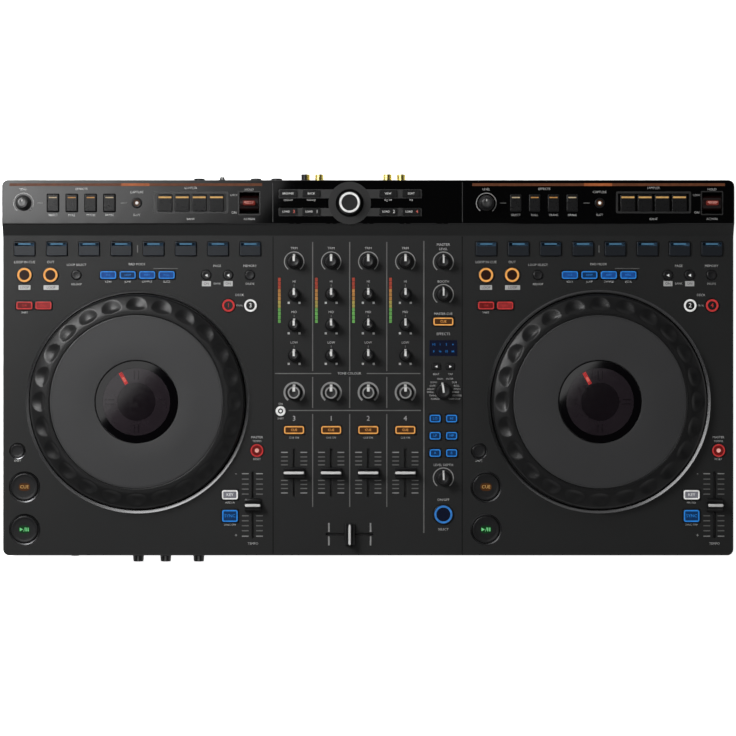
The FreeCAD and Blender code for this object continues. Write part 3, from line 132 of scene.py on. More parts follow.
class Graph:
    """The nodes of a material or a world. Each input is given as a value or as another node's output."""

    def __init__(self, owner):
        owner.use_nodes = True
        owner.node_tree.nodes.clear()
        self.owner = owner
        self.tree = owner.node_tree

    def add(self, kind, output, inputs):
        node = self.tree.nodes.new(f"ShaderNode{kind}")
        for name, value in inputs.items():
            if isinstance(value, bpy.types.NodeSocket):
                self.tree.links.new(value, node.inputs[name])
            else:
                node.inputs[name].default_value = value
        return node.outputs[output] if output else None

    def noise(self, scale, detail, roughness=0.55):
        return self.add("TexNoise", "Fac", {"Vector": self.add("TexCoord", "Object", {}), "Scale": scale,
                                            "Detail": detail, "Roughness": roughness})

    def ramp(self, source, *stops):
        """A colour ramp with a stop for each (position, colour)."""
        blend = self.add("ValToRGB", "Color", {"Fac": source})
        elements = blend.node.color_ramp.elements
        for index, (position, color) in enumerate(stops):
            element = elements[index] if index < 2 else elements.new(position)
            element.position = position
            element.color = (*color, 1)
        return blend

    def tint(self, source, color, low, high):
        """A colour that runs between two shades as the source does."""
        return self.ramp(source, (0.35, shade(color, low)), (0.65, shade(color, high)))

    def principled(self, inputs):
        self.add("OutputMaterial", None, {"Surface": self.add("BsdfPrincipled", "BSDF", inputs)})
        return self.owner


def surface(name, color, roughness, spread=0.1, patch=9.0, grain=2600.0, bump=0.12, metallic=0.0,
            drift=0.05, sheen=0.5, paint=None):
    """A surface whose colour and gloss drift in broad patches, with a fine grain in its bump."""
    graph = Graph(bpy.data.materials.new(name))
    swing = min(drift, roughness / 2)
    inputs = {
        "Metallic": metallic, "Specular IOR Level": sheen,
        "Base Color": paint(graph) if paint else graph.tint(graph.noise(patch, 5.0), color, 1 - spread,
                                                            1 + spread),
        "Roughness": graph.add("MapRange", "Result", {
            "Value": graph.noise(patch * 6, 6.0, 0.6), "From Min": 0.3, "From Max": 0.7,
            "To Min": roughness - swing, "To Max": roughness + swing})}
    if bump > 0:
        inputs["Normal"] = graph.add("Bump", "Normal", {"Strength": bump, "Distance": 0.00006,
                                                        "Height": graph.noise(grain, 2.0, 0.5)})
    return graph.principled(inputs)


def glow(name, color, strength, body=0.3):
    """Lit translucent plastic: emission that is slightly uneven, as a diffused lamp behind it is."""
    graph = Graph(bpy.data.materials.new(name))
    cloud = graph.noise(260.0, 3.0)
    return graph.principled({
        "Roughness": 0.4, "Specular IOR Level": 0.15, "Emission Strength": strength,
        "Emission Color": graph.tint(cloud, color, 0.8, 1.12),
        "Base Color": graph.tint(cloud, color, body * 0.8, body)})


NUT_BLACK = (0.02, 0.02, 0.02)
BRASS = (0.62, 0.52, 0.16)


def barrel_plating(graph):
    """Dark nuts on the jacks, and brass on the stretch of the rear edge where the phono barrels are."""
    split = graph.add("SeparateXYZ", "X", {"Vector": graph.add("TexCoord", "Object", {})})
    along = graph.add("MapRange", "Result", {"Value": split, "From Min": -0.2, "From Max": 0.08})
    plating = graph.ramp(along, (0.0, NUT_BLACK), (0.5, BRASS), (0.9, NUT_BLACK))
    plating.node.color_ramp.interpolation = "CONSTANT"
    return plating


# what several looks have in common
MOULDED = {"patch": 70, "sheen": 0.3}
POLISHED = {"spread": 0.05, "bump": 0, "drift": 0.02, "metallic": 1}
BEHIND_LENS = {"patch": 40, "bump": 0, "drift": 0.015}
PRINTED = {"patch": 90, "bump": 0}

# look: (material, the record's slot that goes with it)
LOOKS = {
    "case": (surface("case_moulding", (0.016, 0.016, 0.017), 0.55, grain=1800, bump=0.35, sheen=0.3),
             "case_plastic"),
    "panel": (surface("panel_soft_coating", (0.0135, 0.0138, 0.0138), 0.5, spread=0.05, patch=5,
                      bump=0.16, sheen=0.22), "panel_coating"),
    "bezel": (surface("bezel_polished_edge", (0.22, 0.22, 0.223), 0.2, **POLISHED), "panel_coating"),
    "edge": (surface("key_well_edge", (0.07, 0.07, 0.072), 0.24, **POLISHED), "panel_coating"),
    "fascia": (surface("fascia_polished_acrylic", (0.0008, 0.0008, 0.0009), 0.04, spread=0.2, patch=3,
                       bump=0, drift=0.012), "fascia_gloss"),
    "ring": (surface("jog_ring_satin", (0.0055, 0.0055, 0.0057), 0.38, patch=14, bump=0.08, sheen=0.28),
             "jog_ring_plastic"),
    "plate": (surface("jog_plate_coating", (0.0335, 0.0335, 0.0345), 0.46, spread=0.05, patch=12,
                      grain=3000, sheen=0.3), "jog_plate_coating"),
    "lens": (surface("display_lens", (0.001, 0.0008, 0.0012), 0.03, bump=0, drift=0.01), "display_lens"),
    "dial": (surface("display_face", (0.0155, 0.0115, 0.0145), 0.05, **BEHIND_LENS), "display_lens"),
    "hub": (surface("display_centre", (0.0062, 0.0042, 0.0058), 0.05, **BEHIND_LENS), "display_lens"),
    "knob": (surface("knob_soft_touch", (0.005, 0.005, 0.0055), 0.42, patch=60, bump=0.2, sheen=0.35),
             "knob_plastic"),
    "knob_cap": (surface("knob_spun_cap", (0.075, 0.075, 0.075), 0.45, patch=160, spread=0.35,
                         metallic=1), "control_metal"),
    "button": (surface("button_moulding", (0.005, 0.005, 0.0055), 0.34, patch=70, sheen=0.4),
               "button_plastic"),
    "key": (surface("bar_key_moulding", (0.004, 0.004, 0.0043), 0.3, bump=0.03, **MOULDED),
            "button_plastic"),
    "fader": (surface("fader_moulding", (0.003, 0.003, 0.0033), 0.34, **MOULDED), "fader_plastic"),
    "lever": (surface("lever_moulding", (0.007, 0.001, 0.001), 0.34, **MOULDED), "lever_plastic"),
    "inlay": (surface("white_inlay", (0.6, 0.6, 0.59), 0.4, spread=0.05, patch=80, bump=0.05),
              "white_inlay"),
    "pad": (surface("pad_silicone", (0.0045, 0.007, 0.011), 0.46, patch=40, bump=0.25, sheen=0.3),
            "pad_rubber"),
    "pad_band": (glow("pad_band_blue", (0.05, 0.1, 0.165), 0.7, body=0.5), "pad_rubber"),
    "pad_fade": (glow("pad_band_fading", (0.008, 0.022, 0.044), 0.7, body=0.5), "pad_rubber"),
    "pad_bright": (glow("pad_band_bright", (0.06, 0.16, 0.26), 0.7, body=0.5), "pad_rubber"),
    "print": (surface("printed_light", (0.42, 0.42, 0.415), 0.5, **PRINTED), "white_print"),
    "print_mid": (surface("printed_silver", (0.24, 0.24, 0.237), 0.5, **PRINTED), "white_print"),
    "print_dim": (surface("printed_grey", (0.11, 0.11, 0.107), 0.5, **PRINTED), "white_print"),
    "disc": (surface("encoder_disc", (0.0062, 0.0062, 0.0062), 0.38, patch=60), "fascia_gloss"),
    "stripe": (surface("bar_stripe", (0.017, 0.017, 0.017), 0.35, patch=60), "fascia_gloss"),
    # painted shade: a near-black sheet laid in gaps and recesses where only shade falls; the same look
    # also serves for dark printed words and seam lines
    "shadow": (surface("painted_shade_and_dark_marks", (0.0006, 0.0006, 0.0007), 0.7, patch=50, bump=0, sheen=0.05),
               "panel_coating"),
    "rubber": (surface("foot_rubber", (0.012, 0.012, 0.012), 0.75, patch=50, bump=0.4), "foot_rubber"),
    "screw": (surface("screw_black_zinc", (0.12, 0.12, 0.125), 0.35, patch=80, metallic=1),
              "screw_steel"),
    "plating": (surface("socket_plating", NUT_BLACK, 0.26, patch=90, metallic=1, paint=barrel_plating),
                "socket_plating"),
    "laminate": (surface("board_solder_mask", (0.008, 0.04, 0.016), 0.35, patch=30), "board_laminate"),
    "housing": (surface("jog_housing_moulding", (0.003, 0.003, 0.0033), 0.55, patch=30, sheen=0.2),
                "jog_housing"),
    "metal": (surface("control_body_steel", (0.08, 0.08, 0.08), 0.4, patch=60, metallic=1),
              "control_metal"),
}


def lamps(slot, prefix="lit", **colors):
    """Lit looks that share a slot: look=(red, green, blue, strength)."""
    for look, (*color, strength) in colors.items():
        LOOKS[look] = (glow(f"{prefix}_{look}", color, strength), slot)


lamps("lit_orange", orange=(0.78, 0.35, 0.085, 0.8), orange_deep=(0.06, 0.021, 0.004, 0.8),
      gold=(0.62, 0.36, 0.12, 0.7), amber=(0.5, 0.24, 0.07, 0.6), ember=(0.018, 0.005, 0.002, 0.8))
lamps("lit_orange", "bar", line_dim=(0.105, 0.036, 0.016, 0.8), line_lit=(0.3, 0.085, 0.028, 0.9))
lamps("lit_red", red=(0.5, 0.035, 0.035, 0.8), red_mid=(0.26, 0.021, 0.022, 0.8),
      red_deep=(0.13, 0.006, 0.006, 0.8), salmon=(0.6, 0.13, 0.1, 0.8),
      salmon_dim=(0.3, 0.05, 0.03, 0.85), pink=(0.75, 0.36, 0.31, 0.8))
lamps("lever_plastic", maroon=(0.14, 0.016, 0.011, 0.8))
lamps("lit_white", white=(0.78, 0.78, 0.77, 0.75), cream=(0.5, 0.4, 0.26, 0.6),
      grey_lit=(0.2, 0.2, 0.23, 0.6))
lamps("lit_blue", blue=(0.02, 0.21, 0.66, 0.8), blue_mid=(0.008, 0.06, 0.255, 0.8),
      blue_deep=(0.003, 0.028, 0.1, 0.8), violet=(0.032, 0.185, 0.54, 0.75))
lamps("display_lens", "display", navy=(0.0012, 0.0035, 0.017, 0.7))
lamps("lit_green", green=(0.13, 0.36, 0.09, 0.75), green_deep=(0.003, 0.034, 0.008, 0.8),
      mint=(0.16, 0.6, 0.22, 0.8), yellow=(0.36, 0.3, 0.08, 0.7))

CAD_LOOKS = {
    "bottom_case": "case",
    "top_panel": "panel",
    "bar_fascia": "fascia",
    "feet": "rubber",
    "case_screws": "screw",
    "sockets": "plating",
    "circuit_boards": "laminate",
    "control_bodies": "metal",
    "jog_mounts": "housing",
}


# ---- mesh pieces

def at(x, y, z=0.0, turn=0.0):
    return Matrix.Translation((x, y, z)) @ Matrix.Rotation(math.radians(turn), 4, "Z")


def circle(radius, height, steps=72, ripple=None):
    """A ring of points at one height; ripple(turn, height) is added to its radius."""
    points = []
    for step in range(steps):
        turn = 2 * math.pi * step / steps
        reach = radius + (ripple(turn, height) if ripple else 0)
        points.append((reach * math.cos(turn), reach * math.sin(turn), height))
    return points


def rounded(width, depth, corner, height, steps=5):
    """A rectangle with rounded corners, as a ring of points at one height."""
    corner = max(0.02, min(corner, width / 2 - 0.01, depth / 2 - 0.01))
    points = []
    for quarter, (side_x, side_y) in enumerate(((1, -1), (1, 1), (-1, 1), (-1, -1))):
        for step in range(steps + 1):
            turn = math.radians(90 * (quarter - 1) + 90 * step / steps)
            points.append((side_x * (width / 2 - corner) + corner * math.cos(turn),
                           side_y * (depth / 2 - corner) + corner * math.sin(turn), height))
    return points


def add_to_scene(thing):
    bpy.context.scene.collection.objects.link(thing)


class Piece:
    """A visible piece: a mesh in millimetres with one look that rides on one body."""

    made = {}

    def __init__(self, name, look, body, stands_for=None, crease=35):
        self.name, self.look, self.body = name, look, body
        self.stands_for, self.crease = stands_for, crease
        self.mesh = bmesh.new()
        Piece.made[name] = self

    def skin(self, rings, place, closed=False):
        """Joins rings of points. The ends are capped, or joined to each other if it is closed."""
        rows = [[self.mesh.verts.new(place @ Vector(point)) for point in ring] for ring in rings]
        pairs = list(zip(rows, rows[1:]))
        if closed:
            pairs.append((rows[-1], rows[0]))
        for lower, upper in pairs:
            for index in range(len(lower)):
                after = (index + 1) % len(lower)
                self.mesh.faces.new((lower[index], lower[after], upper[after], upper[index]))
        if not closed:
            self.mesh.faces.new(list(reversed(rows[0])))
            self.mesh.faces.new(rows[-1])

    def key(self, outline, low, high, place, edge=0.4, dish=0.0, flange=0.0):
        """A key top: outline(inset, height) gives its plan, with a round edge and a dished top."""
        rings = []
        if flange:
            rings += [outline(-flange, low), outline(-flange, low + 1.5)]
        rings.append(outline(0, low + 1.5 if flange else low))
        for step in range(5):
            turn = math.pi / 2 * step / 4
            rings.append(outline(edge * (1 - math.cos(turn)), high - edge + edge * math.sin(turn)))
        if dish:
            for step in (1, 2, 3):
                turn = math.pi / 2 * step / 3
                rings.append(outline(edge * (1 + 1.1 * step), high - dish * math.sin(turn)))
        else:
            rings.append(outline(edge + 0.15, high))
        self.skin(rings, place)

    def round_key(self, radius, low, high, place, **shape):
        self.key(lambda inset, height: circle(radius - inset, height), low, high, place, **shape)

    def flat_key(self, width, depth, corner, low, high, place, **shape):
        def outline(inset, height):
            return rounded(width - 2 * inset, depth - 2 * inset, corner - inset, height)
        self.key(outline, low, high, place, **shape)

    def strip(self, width, depth, low, high, place, corner=0.2):
        edge = min(0.06, (high - low) / 3)
        self.flat_key(width, depth, corner, low, high, place, edge=edge)

    def frame(self, width, depth, corner, line, low, high, place):
        """A rounded rectangular outline of one line width."""
        inner = (width - 2 * line, depth - 2 * line, max(0.1, corner - line))
        self.skin([rounded(width, depth, corner, low), rounded(width, depth, corner, high),
                   rounded(*inner, high), rounded(*inner, low)], place, closed=True)

    def band(self, inner, outer, low, high, place, start=0.0, end=360.0):
        """A flat ring, or the part of one between two angles anticlockwise from +X."""
        if end - start >= 360:
            self.turned([(inner, low), (outer, low), (outer, high), (inner, high)], place, 72,
                        closed=True)
            return
        count = max(4, round((end - start) / 5))
        sections = []
        for step in range(count + 1):
            turn = math.radians(start + (end - start) * step / count)
            corners = ((inner, low), (outer, low), (outer, high), (inner, high))
            sections.append([(reach * math.cos(turn), reach * math.sin(turn), height)
                             for reach, height in corners])
        self.skin(sections, place)

    def turned(self, profile, place, steps, ripple=None, closed=False):
        """Turns (radius, height) pairs about Z, to a solid or to a closed ring."""
        self.skin([circle(radius, height, steps, ripple) for radius, height in profile], place, closed)

    def chamfer(self, inner, outer, drop, place):
        """A thin ring that slopes down towards its middle, like the polished edge of a well."""
        self.turned([(outer, -0.2), (outer, 0.06), (inner, -drop), (inner, -drop - 0.3)], place, 96,
                    closed=True)

    def word(self, text, size, place, tall=0.05):
        """Generic lettering as thin raised print."""
        curve = bpy.data.curves.new(self.name, "FONT")
        curve.body = text
        curve.size = size
        curve.align_x = "CENTER"
        curve.align_y = "CENTER"
        curve.extrude = tall / 2
        curve.resolution_u = 2
        holder = bpy.data.objects.new(self.name, curve)
        printed = bpy.data.meshes.new_from_object(holder)
        printed.transform(place @ Matrix.Translation((0, 0, tall / 2)))
        self.mesh.from_mesh(printed)
        bpy.data.meshes.remove(printed)
        bpy.data.objects.remove(holder)
        bpy.data.curves.remove(curve)

    def finish(self):
        bmesh.ops.remove_doubles(self.mesh, verts=self.mesh.verts, dist=0.0001)
        bmesh.ops.recalc_face_normals(self.mesh, faces=self.mesh.faces)
        for face in self.mesh.faces:
            face.smooth = True
        for edge in self.mesh.edges:
            edge.smooth = edge.calc_face_angle(math.pi) < math.radians(self.crease)
        data = bpy.data.meshes.new(self.name)
        self.mesh.to_mesh(data)
        self.mesh.free()
        data.transform(Matrix.Scale(MM, 4))
        material, slot = LOOKS[self.look]
        data.materials.append(material)
        thing = bpy.data.objects.new(self.name, data)
        add_to_scene(thing)
        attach(thing, self.body)
        if self.stands_for:
            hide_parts(self.stands_for)


def piece(name, look, body="case", **more):
    """The piece of that name, made on first use, so that what repeats is gathered in one mesh."""
    if name not in Piece.made:
        Piece(name, look, body, **more)
    return Piece.made[name]


def lit(group, look, body="case"):
    return piece(f"{group}_{look}", look, body)


PRINT_LOW = -0.03
PRINT_HIGH = 0.04
PRINT = (PRINT_LOW, PRINT_HIGH)
LABEL_SCALE = 1.22


def label(group, text, x, y, size=2.5, look="print", base=PANEL):
    lit(group, look).word(text, size * LABEL_SCALE, at(x, y, base + PRINT_LOW), PRINT_HIGH - PRINT_LOW)


def labels(group, x, rows, base=PANEL):
    for text, offset, row, size in rows:
        label(group, text, x + offset, row, size, base=base)


def tick(group, width, depth, x, y, look="print_dim", base=PANEL):
    lit(group, look).strip(width, depth, *PRINT, at(x, y, base), 0.12)


# ---- jog wheels

RING_INNER = 83.1
RING_OUTER = 103.0
RING_BOTTOM = 50.0
RING_SHOULDER = 87.0
RIM_DROP = 5.2
SCOOPS = 24
SCOOP_RING = 91.6
SCOOP_ALONG = 9.8
SCOOP_INWARD = 4.3
SCOOP_OUTWARD = 9.0
SCOOP_DEPTH = 2.2
JOG_STEPS = 192
PLATE_INNER = 39.8
SPOKE_RING = 25.6


def ring_height(radius):
    """The ring's crown: level to its shoulder, then falling faster towards the rim."""
    reach = max(0.0, (radius - RING_SHOULDER) / (RING_OUTER - RING_SHOULDER))
    return JOG_TOP - RIM_DROP * reach ** 1.6


def scoop_depth(radius, turn):
    pitch = 2 * math.pi / SCOOPS
    along = ((turn + pitch / 2) % pitch - pitch / 2) * SCOOP_RING
    across = (radius - SCOOP_RING) / (SCOOP_OUTWARD if radius > SCOOP_RING else SCOOP_INWARD)
    reach = (along / SCOOP_ALONG) ** 2 + across ** 2
    return SCOOP_DEPTH * (1 - reach) ** 1.3 if reach < 1 else 0.0


def make_jog_ring(deck):
    ring = piece(f"{deck}_jog_ring_skin", "ring", f"{deck}_jog", stands_for=f"{deck}_jog_ring", crease=48)
    steps = SCOOPS * 28
    crown = [(RING_INNER + 0.3, 0), (84.0, 0), (84.15, 0.3), (84.5, 0.3), (84.65, 0), (86.0, 0)]
    crown += [(RING_SHOULDER + 0.5 * step, 0) for step in range(29)]
    rings = [circle(RING_INNER, 57.2, steps), circle(RING_INNER, JOG_TOP - 0.3, steps)]
    for radius, groove in crown:
        points = []
        for x, y, _ in circle(radius, 0, steps):
            turn = math.atan2(y, x)
            points.append((x, y, ring_height(radius) - groove - scoop_depth(radius, turn)))
        rings.append(points)
    rim = ring_height(RING_OUTER - 2.0)
    for radius, height in ((RING_OUTER - 1.3, rim - 0.6), (RING_OUTER - 0.6, rim - 1.6),
                           (RING_OUTER - 0.15, rim - 3.0), (RING_OUTER, rim - 4.8),
                           (RING_OUTER, RING_BOTTOM + 0.3),
                           (RING_OUTER - 0.3, RING_BOTTOM), (100.0, RING_BOTTOM), (100.0, 54.0),
                           (72.2, 54.0), (72.2, 57.0), (RING_INNER - 0.2, 57.0)):
        rings.append(circle(radius, height, steps))
    ring.skin(rings, at(DECK_X[deck], DECK_Y), closed=True)


def make_jog_plate(deck):
    plate = piece(f"{deck}_jog_plate_skin", "plate", f"{deck}_jog", stands_for=f"{deck}_jog_plate")
    profile = [(26.4, 20.0), (31.0, 20.0), (31.0, 57.0), (82.6, 57.0), (82.9, 57.3),
               (82.9, JOG_TOP - 0.5), (82.75, JOG_TOP - 0.15), (82.4, JOG_TOP), (81.7, JOG_TOP),
               (81.5, JOG_TOP - 0.2), (81.2, JOG_TOP - 0.2), (81.0, JOG_TOP), (60.0, JOG_TOP),
               (PLATE_INNER + 1.4, JOG_TOP), (PLATE_INNER + 0.4, JOG_TOP - 0.12),
               (PLATE_INNER, JOG_TOP - 0.5), (PLATE_INNER, 60.0), (26.4, 60.0)]
    plate.turned(profile, at(DECK_X[deck], DECK_Y), JOG_STEPS, closed=True)


def make_display(deck):
    """The fixed display: a black rim, a dial with paired ticks, a red marker bar and a dark centre."""
    place = at(DECK_X[deck], DECK_Y, JOG_TOP)
    for name, look, inner, outer, top in (
            ("rim", "lens", 32.3, 38.9, 0.2), ("dial", "dial", 18.3, 32.2, 0.12),
            ("centre", "hub", 0.05, 18.2, 0.16)):
        piece(f"{deck}_display_{name}", look).band(inner, outer, -0.1, top, place)
    for quarter in range(4):
        for side in (-1, 1):
            spoke = place @ at(0, 0, 0, 90 * quarter) @ at(side * 2.0, SPOKE_RING)
            lit(f"{deck}_display_tick", "hub").strip(0.9, 8.6, 0.1, 0.15, spoke)
    marker = place @ at(0, 0, 0, 29)
    for look, across, along, width, depth, top in (
            ("red", -1.2, SPOKE_RING, 1.0, 12.6, 0.24), ("red", 0.15, SPOKE_RING, 1.2, 12.6, 0.24),
            ("red", 1.4, SPOKE_RING, 0.7, 12.6, 0.24), ("salmon", 0, 24.4, 2.2, 4.6, 0.26)):
        lit(f"{deck}_display_marker", look).strip(width, depth, 0.1, top, marker @ at(across, along))


WELL_LIP = 103.9
WELL_INNER = 104.5
WELL_OUTER = 107.3
WELL_DROP = 0.44
WELL_COLLAR = 111.2


def make_bezel(deck):
    """The polished chamfer round the jog wheel's well, its lip, and the panel's collar that holds it."""
    place = at(DECK_X[deck], DECK_Y, PANEL)
    seat = WELL_OUTER - 0.1
    piece(f"{deck}_jog_bezel", "bezel").turned(
        [(WELL_OUTER, -0.3), (WELL_OUTER, 0.06), (WELL_INNER, -WELL_DROP), (WELL_LIP, -2.2),
         (WELL_LIP, -2.8)], place, JOG_STEPS, closed=True)
    piece(f"{deck}_jog_collar", "panel").turned(
        [(seat, -0.5), (WELL_COLLAR, -0.5), (WELL_COLLAR, 0.03), (seat, 0.03)], place, JOG_STEPS,
        closed=True)


# ---- knobs

GRIP_FLUTES = 20
SHAFT_RADIUS = 2.5
SHAFT_BOTTOM = -8.0
KNOB_LIFT = 0.8
SKIRT_SLOPE = 1.4
ARC_START = -52.0
ARC_END = 232.0


def flutes(turn):
    return -0.3 * max(0.0, math.cos(GRIP_FLUTES * turn)) ** 2


def make_knob(node, height, turn=0.0, pointer_width=1.5, pointer_reach=0.75, spun_cap=False):
    """A soft-touch knob on its shaft: skirt, fluted grip, dished face and a light pointer."""
    low, high = box_mm(node)
    radius = (high.x - low.x) / 2
    place = at((low.x + high.x) / 2, (low.y + high.y) / 2, high.z - height, turn)
    grip = radius - SKIRT_SLOPE
    body = piece(f"{node}_grip", "knob", node, stands_for=node, crease=40)
    body.turned([
        (SHAFT_RADIUS, SHAFT_BOTTOM), (SHAFT_RADIUS, KNOB_LIFT), (radius - 0.15, KNOB_LIFT),
        (radius, KNOB_LIFT + 0.2), (radius, KNOB_LIFT + 1.3), (radius - 0.2, KNOB_LIFT + 1.6),
        (grip + 0.2, KNOB_LIFT + 2.6), (grip - 0.05, KNOB_LIFT + 2.9), (grip - 0.1, KNOB_LIFT + 3.3),
        (grip - 0.4, height * 0.6), (grip - 0.65, height - 1.2), (grip - 0.7, height - 0.8),
        (grip - 0.95, height - 0.35), (grip - 1.35, height - 0.1), (grip - 1.7, height - 0.12),
        (grip - 2.1, height - 0.3), (0.4, height - 0.3)], place, GRIP_FLUTES * 6,
                lambda angle, level: flutes(angle) if KNOB_LIFT + 3 < level < height - 0.9 else 0.0)
    if spun_cap:
        piece(f"{node}_cap", "knob_cap", node, crease=30).turned(
            [(grip - 2.0, height - 0.6), (grip - 2.0, height - 0.15), (grip - 2.3, height),
             (grip - 3.2, height), (0.3, height - 0.25)], place, GRIP_FLUTES * 4)
        piece(f"{node}_pointer", "print", node).strip(
            0.9, grip * 0.5, height - 0.3, height, place @ at(0, grip - 2.2 - grip * 0.25))
        return
    crest = height - 0.02
    start = grip - 0.9 - grip * pointer_reach
    ribbon = [(radius - 0.02, KNOB_LIFT + 1.3), (radius - 0.12, KNOB_LIFT + 1.7),
              (grip + 0.3, KNOB_LIFT + 2.7), (grip + 0.05, KNOB_LIFT + 3.3),
              (grip - 0.3, height * 0.6), (grip - 0.5, height - 0.9), (grip - 0.8, height - 0.25),
              (grip - 1.2, crest), (start, crest), (start, height - 0.6), (grip - 1.4, height - 0.7),
              (grip - 1.0, KNOB_LIFT + 2.4), (radius - 0.6, KNOB_LIFT + 1.0)]
    sides = (-pointer_width / 2, pointer_width / 2)
    piece(f"{node}_pointer", "inlay", node).skin(
        [[(x, reach, level) for reach, level in ribbon] for x in sides], place)


def scale_arc(group, x, y, radius, line, base=PANEL):
    lit(group, "print_mid").band(radius - line / 2, radius + line / 2, *PRINT,
                                 at(x, y, base), ARC_START, ARC_END)


# ---- faders

def make_fader(node, bar, across=False):
    """A fader cap: broad foot, hollowed flanks and a white bar on the ridge."""
    low, high = box_mm(node)
    width = high.x - low.x
    depth = high.y - low.y
    if across:
        width, depth = depth, width
    height = high.z - PANEL
    place = at((low.x + high.x) / 2, (low.y + high.y) / 2, PANEL, 90 if across else 0)
    ridge = bar / 2 + 0.4
    half = depth / 2
    cap = piece(f"{node}_cap", "fader", node, stands_for=node, crease=38)
    side = [(half, 1.0), (half, 3.0), (half - 0.4, 3.5)]
    for step in range(1, 7):
        turn = math.pi / 2 * step / 6
        side.append((ridge + (half - 0.4 - ridge) * (1 - math.sin(turn)),
                     height - 1.2 - (height - 4.7) * math.cos(turn)))
    side.append((ridge, height - 0.5))
    outline = side + [(-reach, level) for reach, level in reversed(side)]
    ends = []
    for x, shrink in ((-width / 2, 0.35), (-width / 2 + 0.35, 0), (width / 2 - 0.35, 0),
                      (width / 2, 0.35)):
        ends.append([(x, reach - math.copysign(min(shrink, abs(reach)), reach), level)
                     for reach, level in outline])
    cap.skin(ends, place)
    cap.strip(3.0, 1.4, -7.0, 1.2, place)
    mark = piece(f"{node}_bar", "inlay", node)
    mark.flat_key(width - 0.6, bar, 0.9, height - 1.0, height, place, edge=0.6)


def fader_scale(group, x, y, reach, rows):
    """Rows of ticks on both sides of a slot; the first and the last are the brightest."""
    for offset in rows:
        look = "print_mid" if offset in (rows[0], rows[-1]) else "print_dim"
        for side in (-1, 1):
            tick(group, 6.5, 1.0, x + side * reach, y + offset, look)


# ---- one deck

CAP_LOW = -5.0
CAP_FLANGE = 0.8
GLOW_LOW = CAP_PROUD - 0.05
GLOW_HIGH = CAP_PROUD + 0.06
FIELD_HIGH = CAP_PROUD + 0.03
LEGEND_TALL = 0.07


class Keys:
    """The caps of one set of keys, with what is lit and printed on them."""

    def __init__(self, caps, group, body, base=PANEL):
        self.caps, self.group, self.body, self.base = caps, group, body, base

    def lit(self, look):
        return lit(self.group, look, self.body)

    def round(self, radius, x, y, **shape):
        place = at(x, y, self.base)
        self.caps.round_key(radius, CAP_LOW, CAP_PROUD, place, flange=CAP_FLANGE, **shape)
        return place

    def flat(self, width, depth, corner, x, y, **shape):
        place = at(x, y, self.base)
        self.caps.flat_key(width, depth, corner, CAP_LOW, CAP_PROUD, place, flange=CAP_FLANGE, **shape)
        return place

    def framed(self, width, depth, x, y, look, deep, text, size, line=1.1):
        """A black key with a lit outline, a dimmer lit field and a legend."""
        place = self.flat(width, depth, 1.4, x, y)
        self.lit(look).frame(width - 1.1, depth - 1.1, 1.9, line, GLOW_LOW, GLOW_HIGH, place)
        self.lit(deep).strip(width - 2 * line - 1.5, depth - 2 * line - 1.5, GLOW_LOW, FIELD_HIGH, place,
                             0.6)
        self.word(look, text, size, place)

    def ringed(self, radius, inner, outer, x, y, look, deep=None):
        place = self.round(radius, x, y)
        self.lit(look).band(inner, outer, GLOW_LOW, GLOW_HIGH, place)
        if deep:
            self.lit(deep).band(0.05, inner, GLOW_LOW, FIELD_HIGH, place)
        return place

    def word(self, look, text, size, place, across=0.0, up=CAP_PROUD):
        self.lit(look).word(text, size, place @ at(across, 0, up), LEGEND_TALL)


# lamps of a pad: look, width, depth, corner, place along, lift, top, edge
PAD_LAMPS = (("pad_band", 18.9, 3.6, 0.6, 4.3, 0.0, 0.0, 0.15),
             ("pad_bright", 12.0, 1.4, 0.6, 4.6, 0.04, 0.0, 0.1),
             ("pad_fade", 18.9, 1.6, 0.3, 1.6, 0.0, -0.01, 0.1))


def make_pads(deck):
    node = f"{deck}_performance_pads"
    pads = piece(f"{deck}_pads", "pad", node, stands_for=node)
    for step in range(8):
        place = at(DECK_X[deck] + PAD_PITCH * (step - 3.5), PAD_ROW, PANEL)
        pads.flat_key(20.2, 13.6, 1.2, CAP_LOW, PAD_PROUD, place, flange=CAP_FLANGE, edge=0.7)
        for look, width, depth, corner, along, lift, top, edge in PAD_LAMPS:
            lit(deck, look, node).flat_key(width, depth, corner, PAD_PROUD - 0.3, PAD_PROUD + top,
                                           place @ at(0, along, lift), edge=edge)
    tick(f"{deck}_deck", 0.9, 7.0, DECK_X[deck], PAD_ROW)


def make_loop_keys(deck, keys):
    x = DECK_X[deck]
    for offset in LOOP_OFFSETS:
        keys.ringed(7.6, 4.9, 6.8, x + offset, MODE_ROW, "orange", "ember")
    for offset in (SELECT_OFFSET, *PARAMETER_OFFSETS):
        keys.round(4.6, x + offset, MODE_ROW, edge=0.9, dish=0.25)
    for offset in PARAMETER_OFFSETS[:2]:
        arrow = at(x + offset, MODE_ROW, PANEL) @ at(0.3, -0.2, CAP_PROUD - 0.3, 35)
        keys.lit("white").skin([[(-1.5, 0.9, level), (-0.2, -1.8, level), (1.4, 0.6, level)]
                                for level in (0, 0.35)], arrow)
    for step, text in enumerate(("CUE", "LOOP", "BEAT", "ROLL")):
        keys.framed(16.4, 8.4, x + MODE_PITCH * (step - 1.5), MODE_ROW, "blue",
                    "blue_deep" if step == 1 else "blue_mid", text, 2.4)
    for offset, text, deep in zip(CALL_OFFSETS, ("CUE", "CALL"), ("red_deep", "red_mid")):
        keys.framed(16.4, 8.4, x + offset, CALL_ROW, "red", deep, text, 2.4)
    looks = ("red", "white") if deck == "left" else ("white", "red")
    for offset, look, number in zip(DECK_SELECT_OFFSETS, looks, DECK_NUMBERS[deck]):
        place = keys.ringed(6.3, 4.2, 6.0, x + offset, CALL_ROW, look)
        keys.word(look, number, 6.0, place)


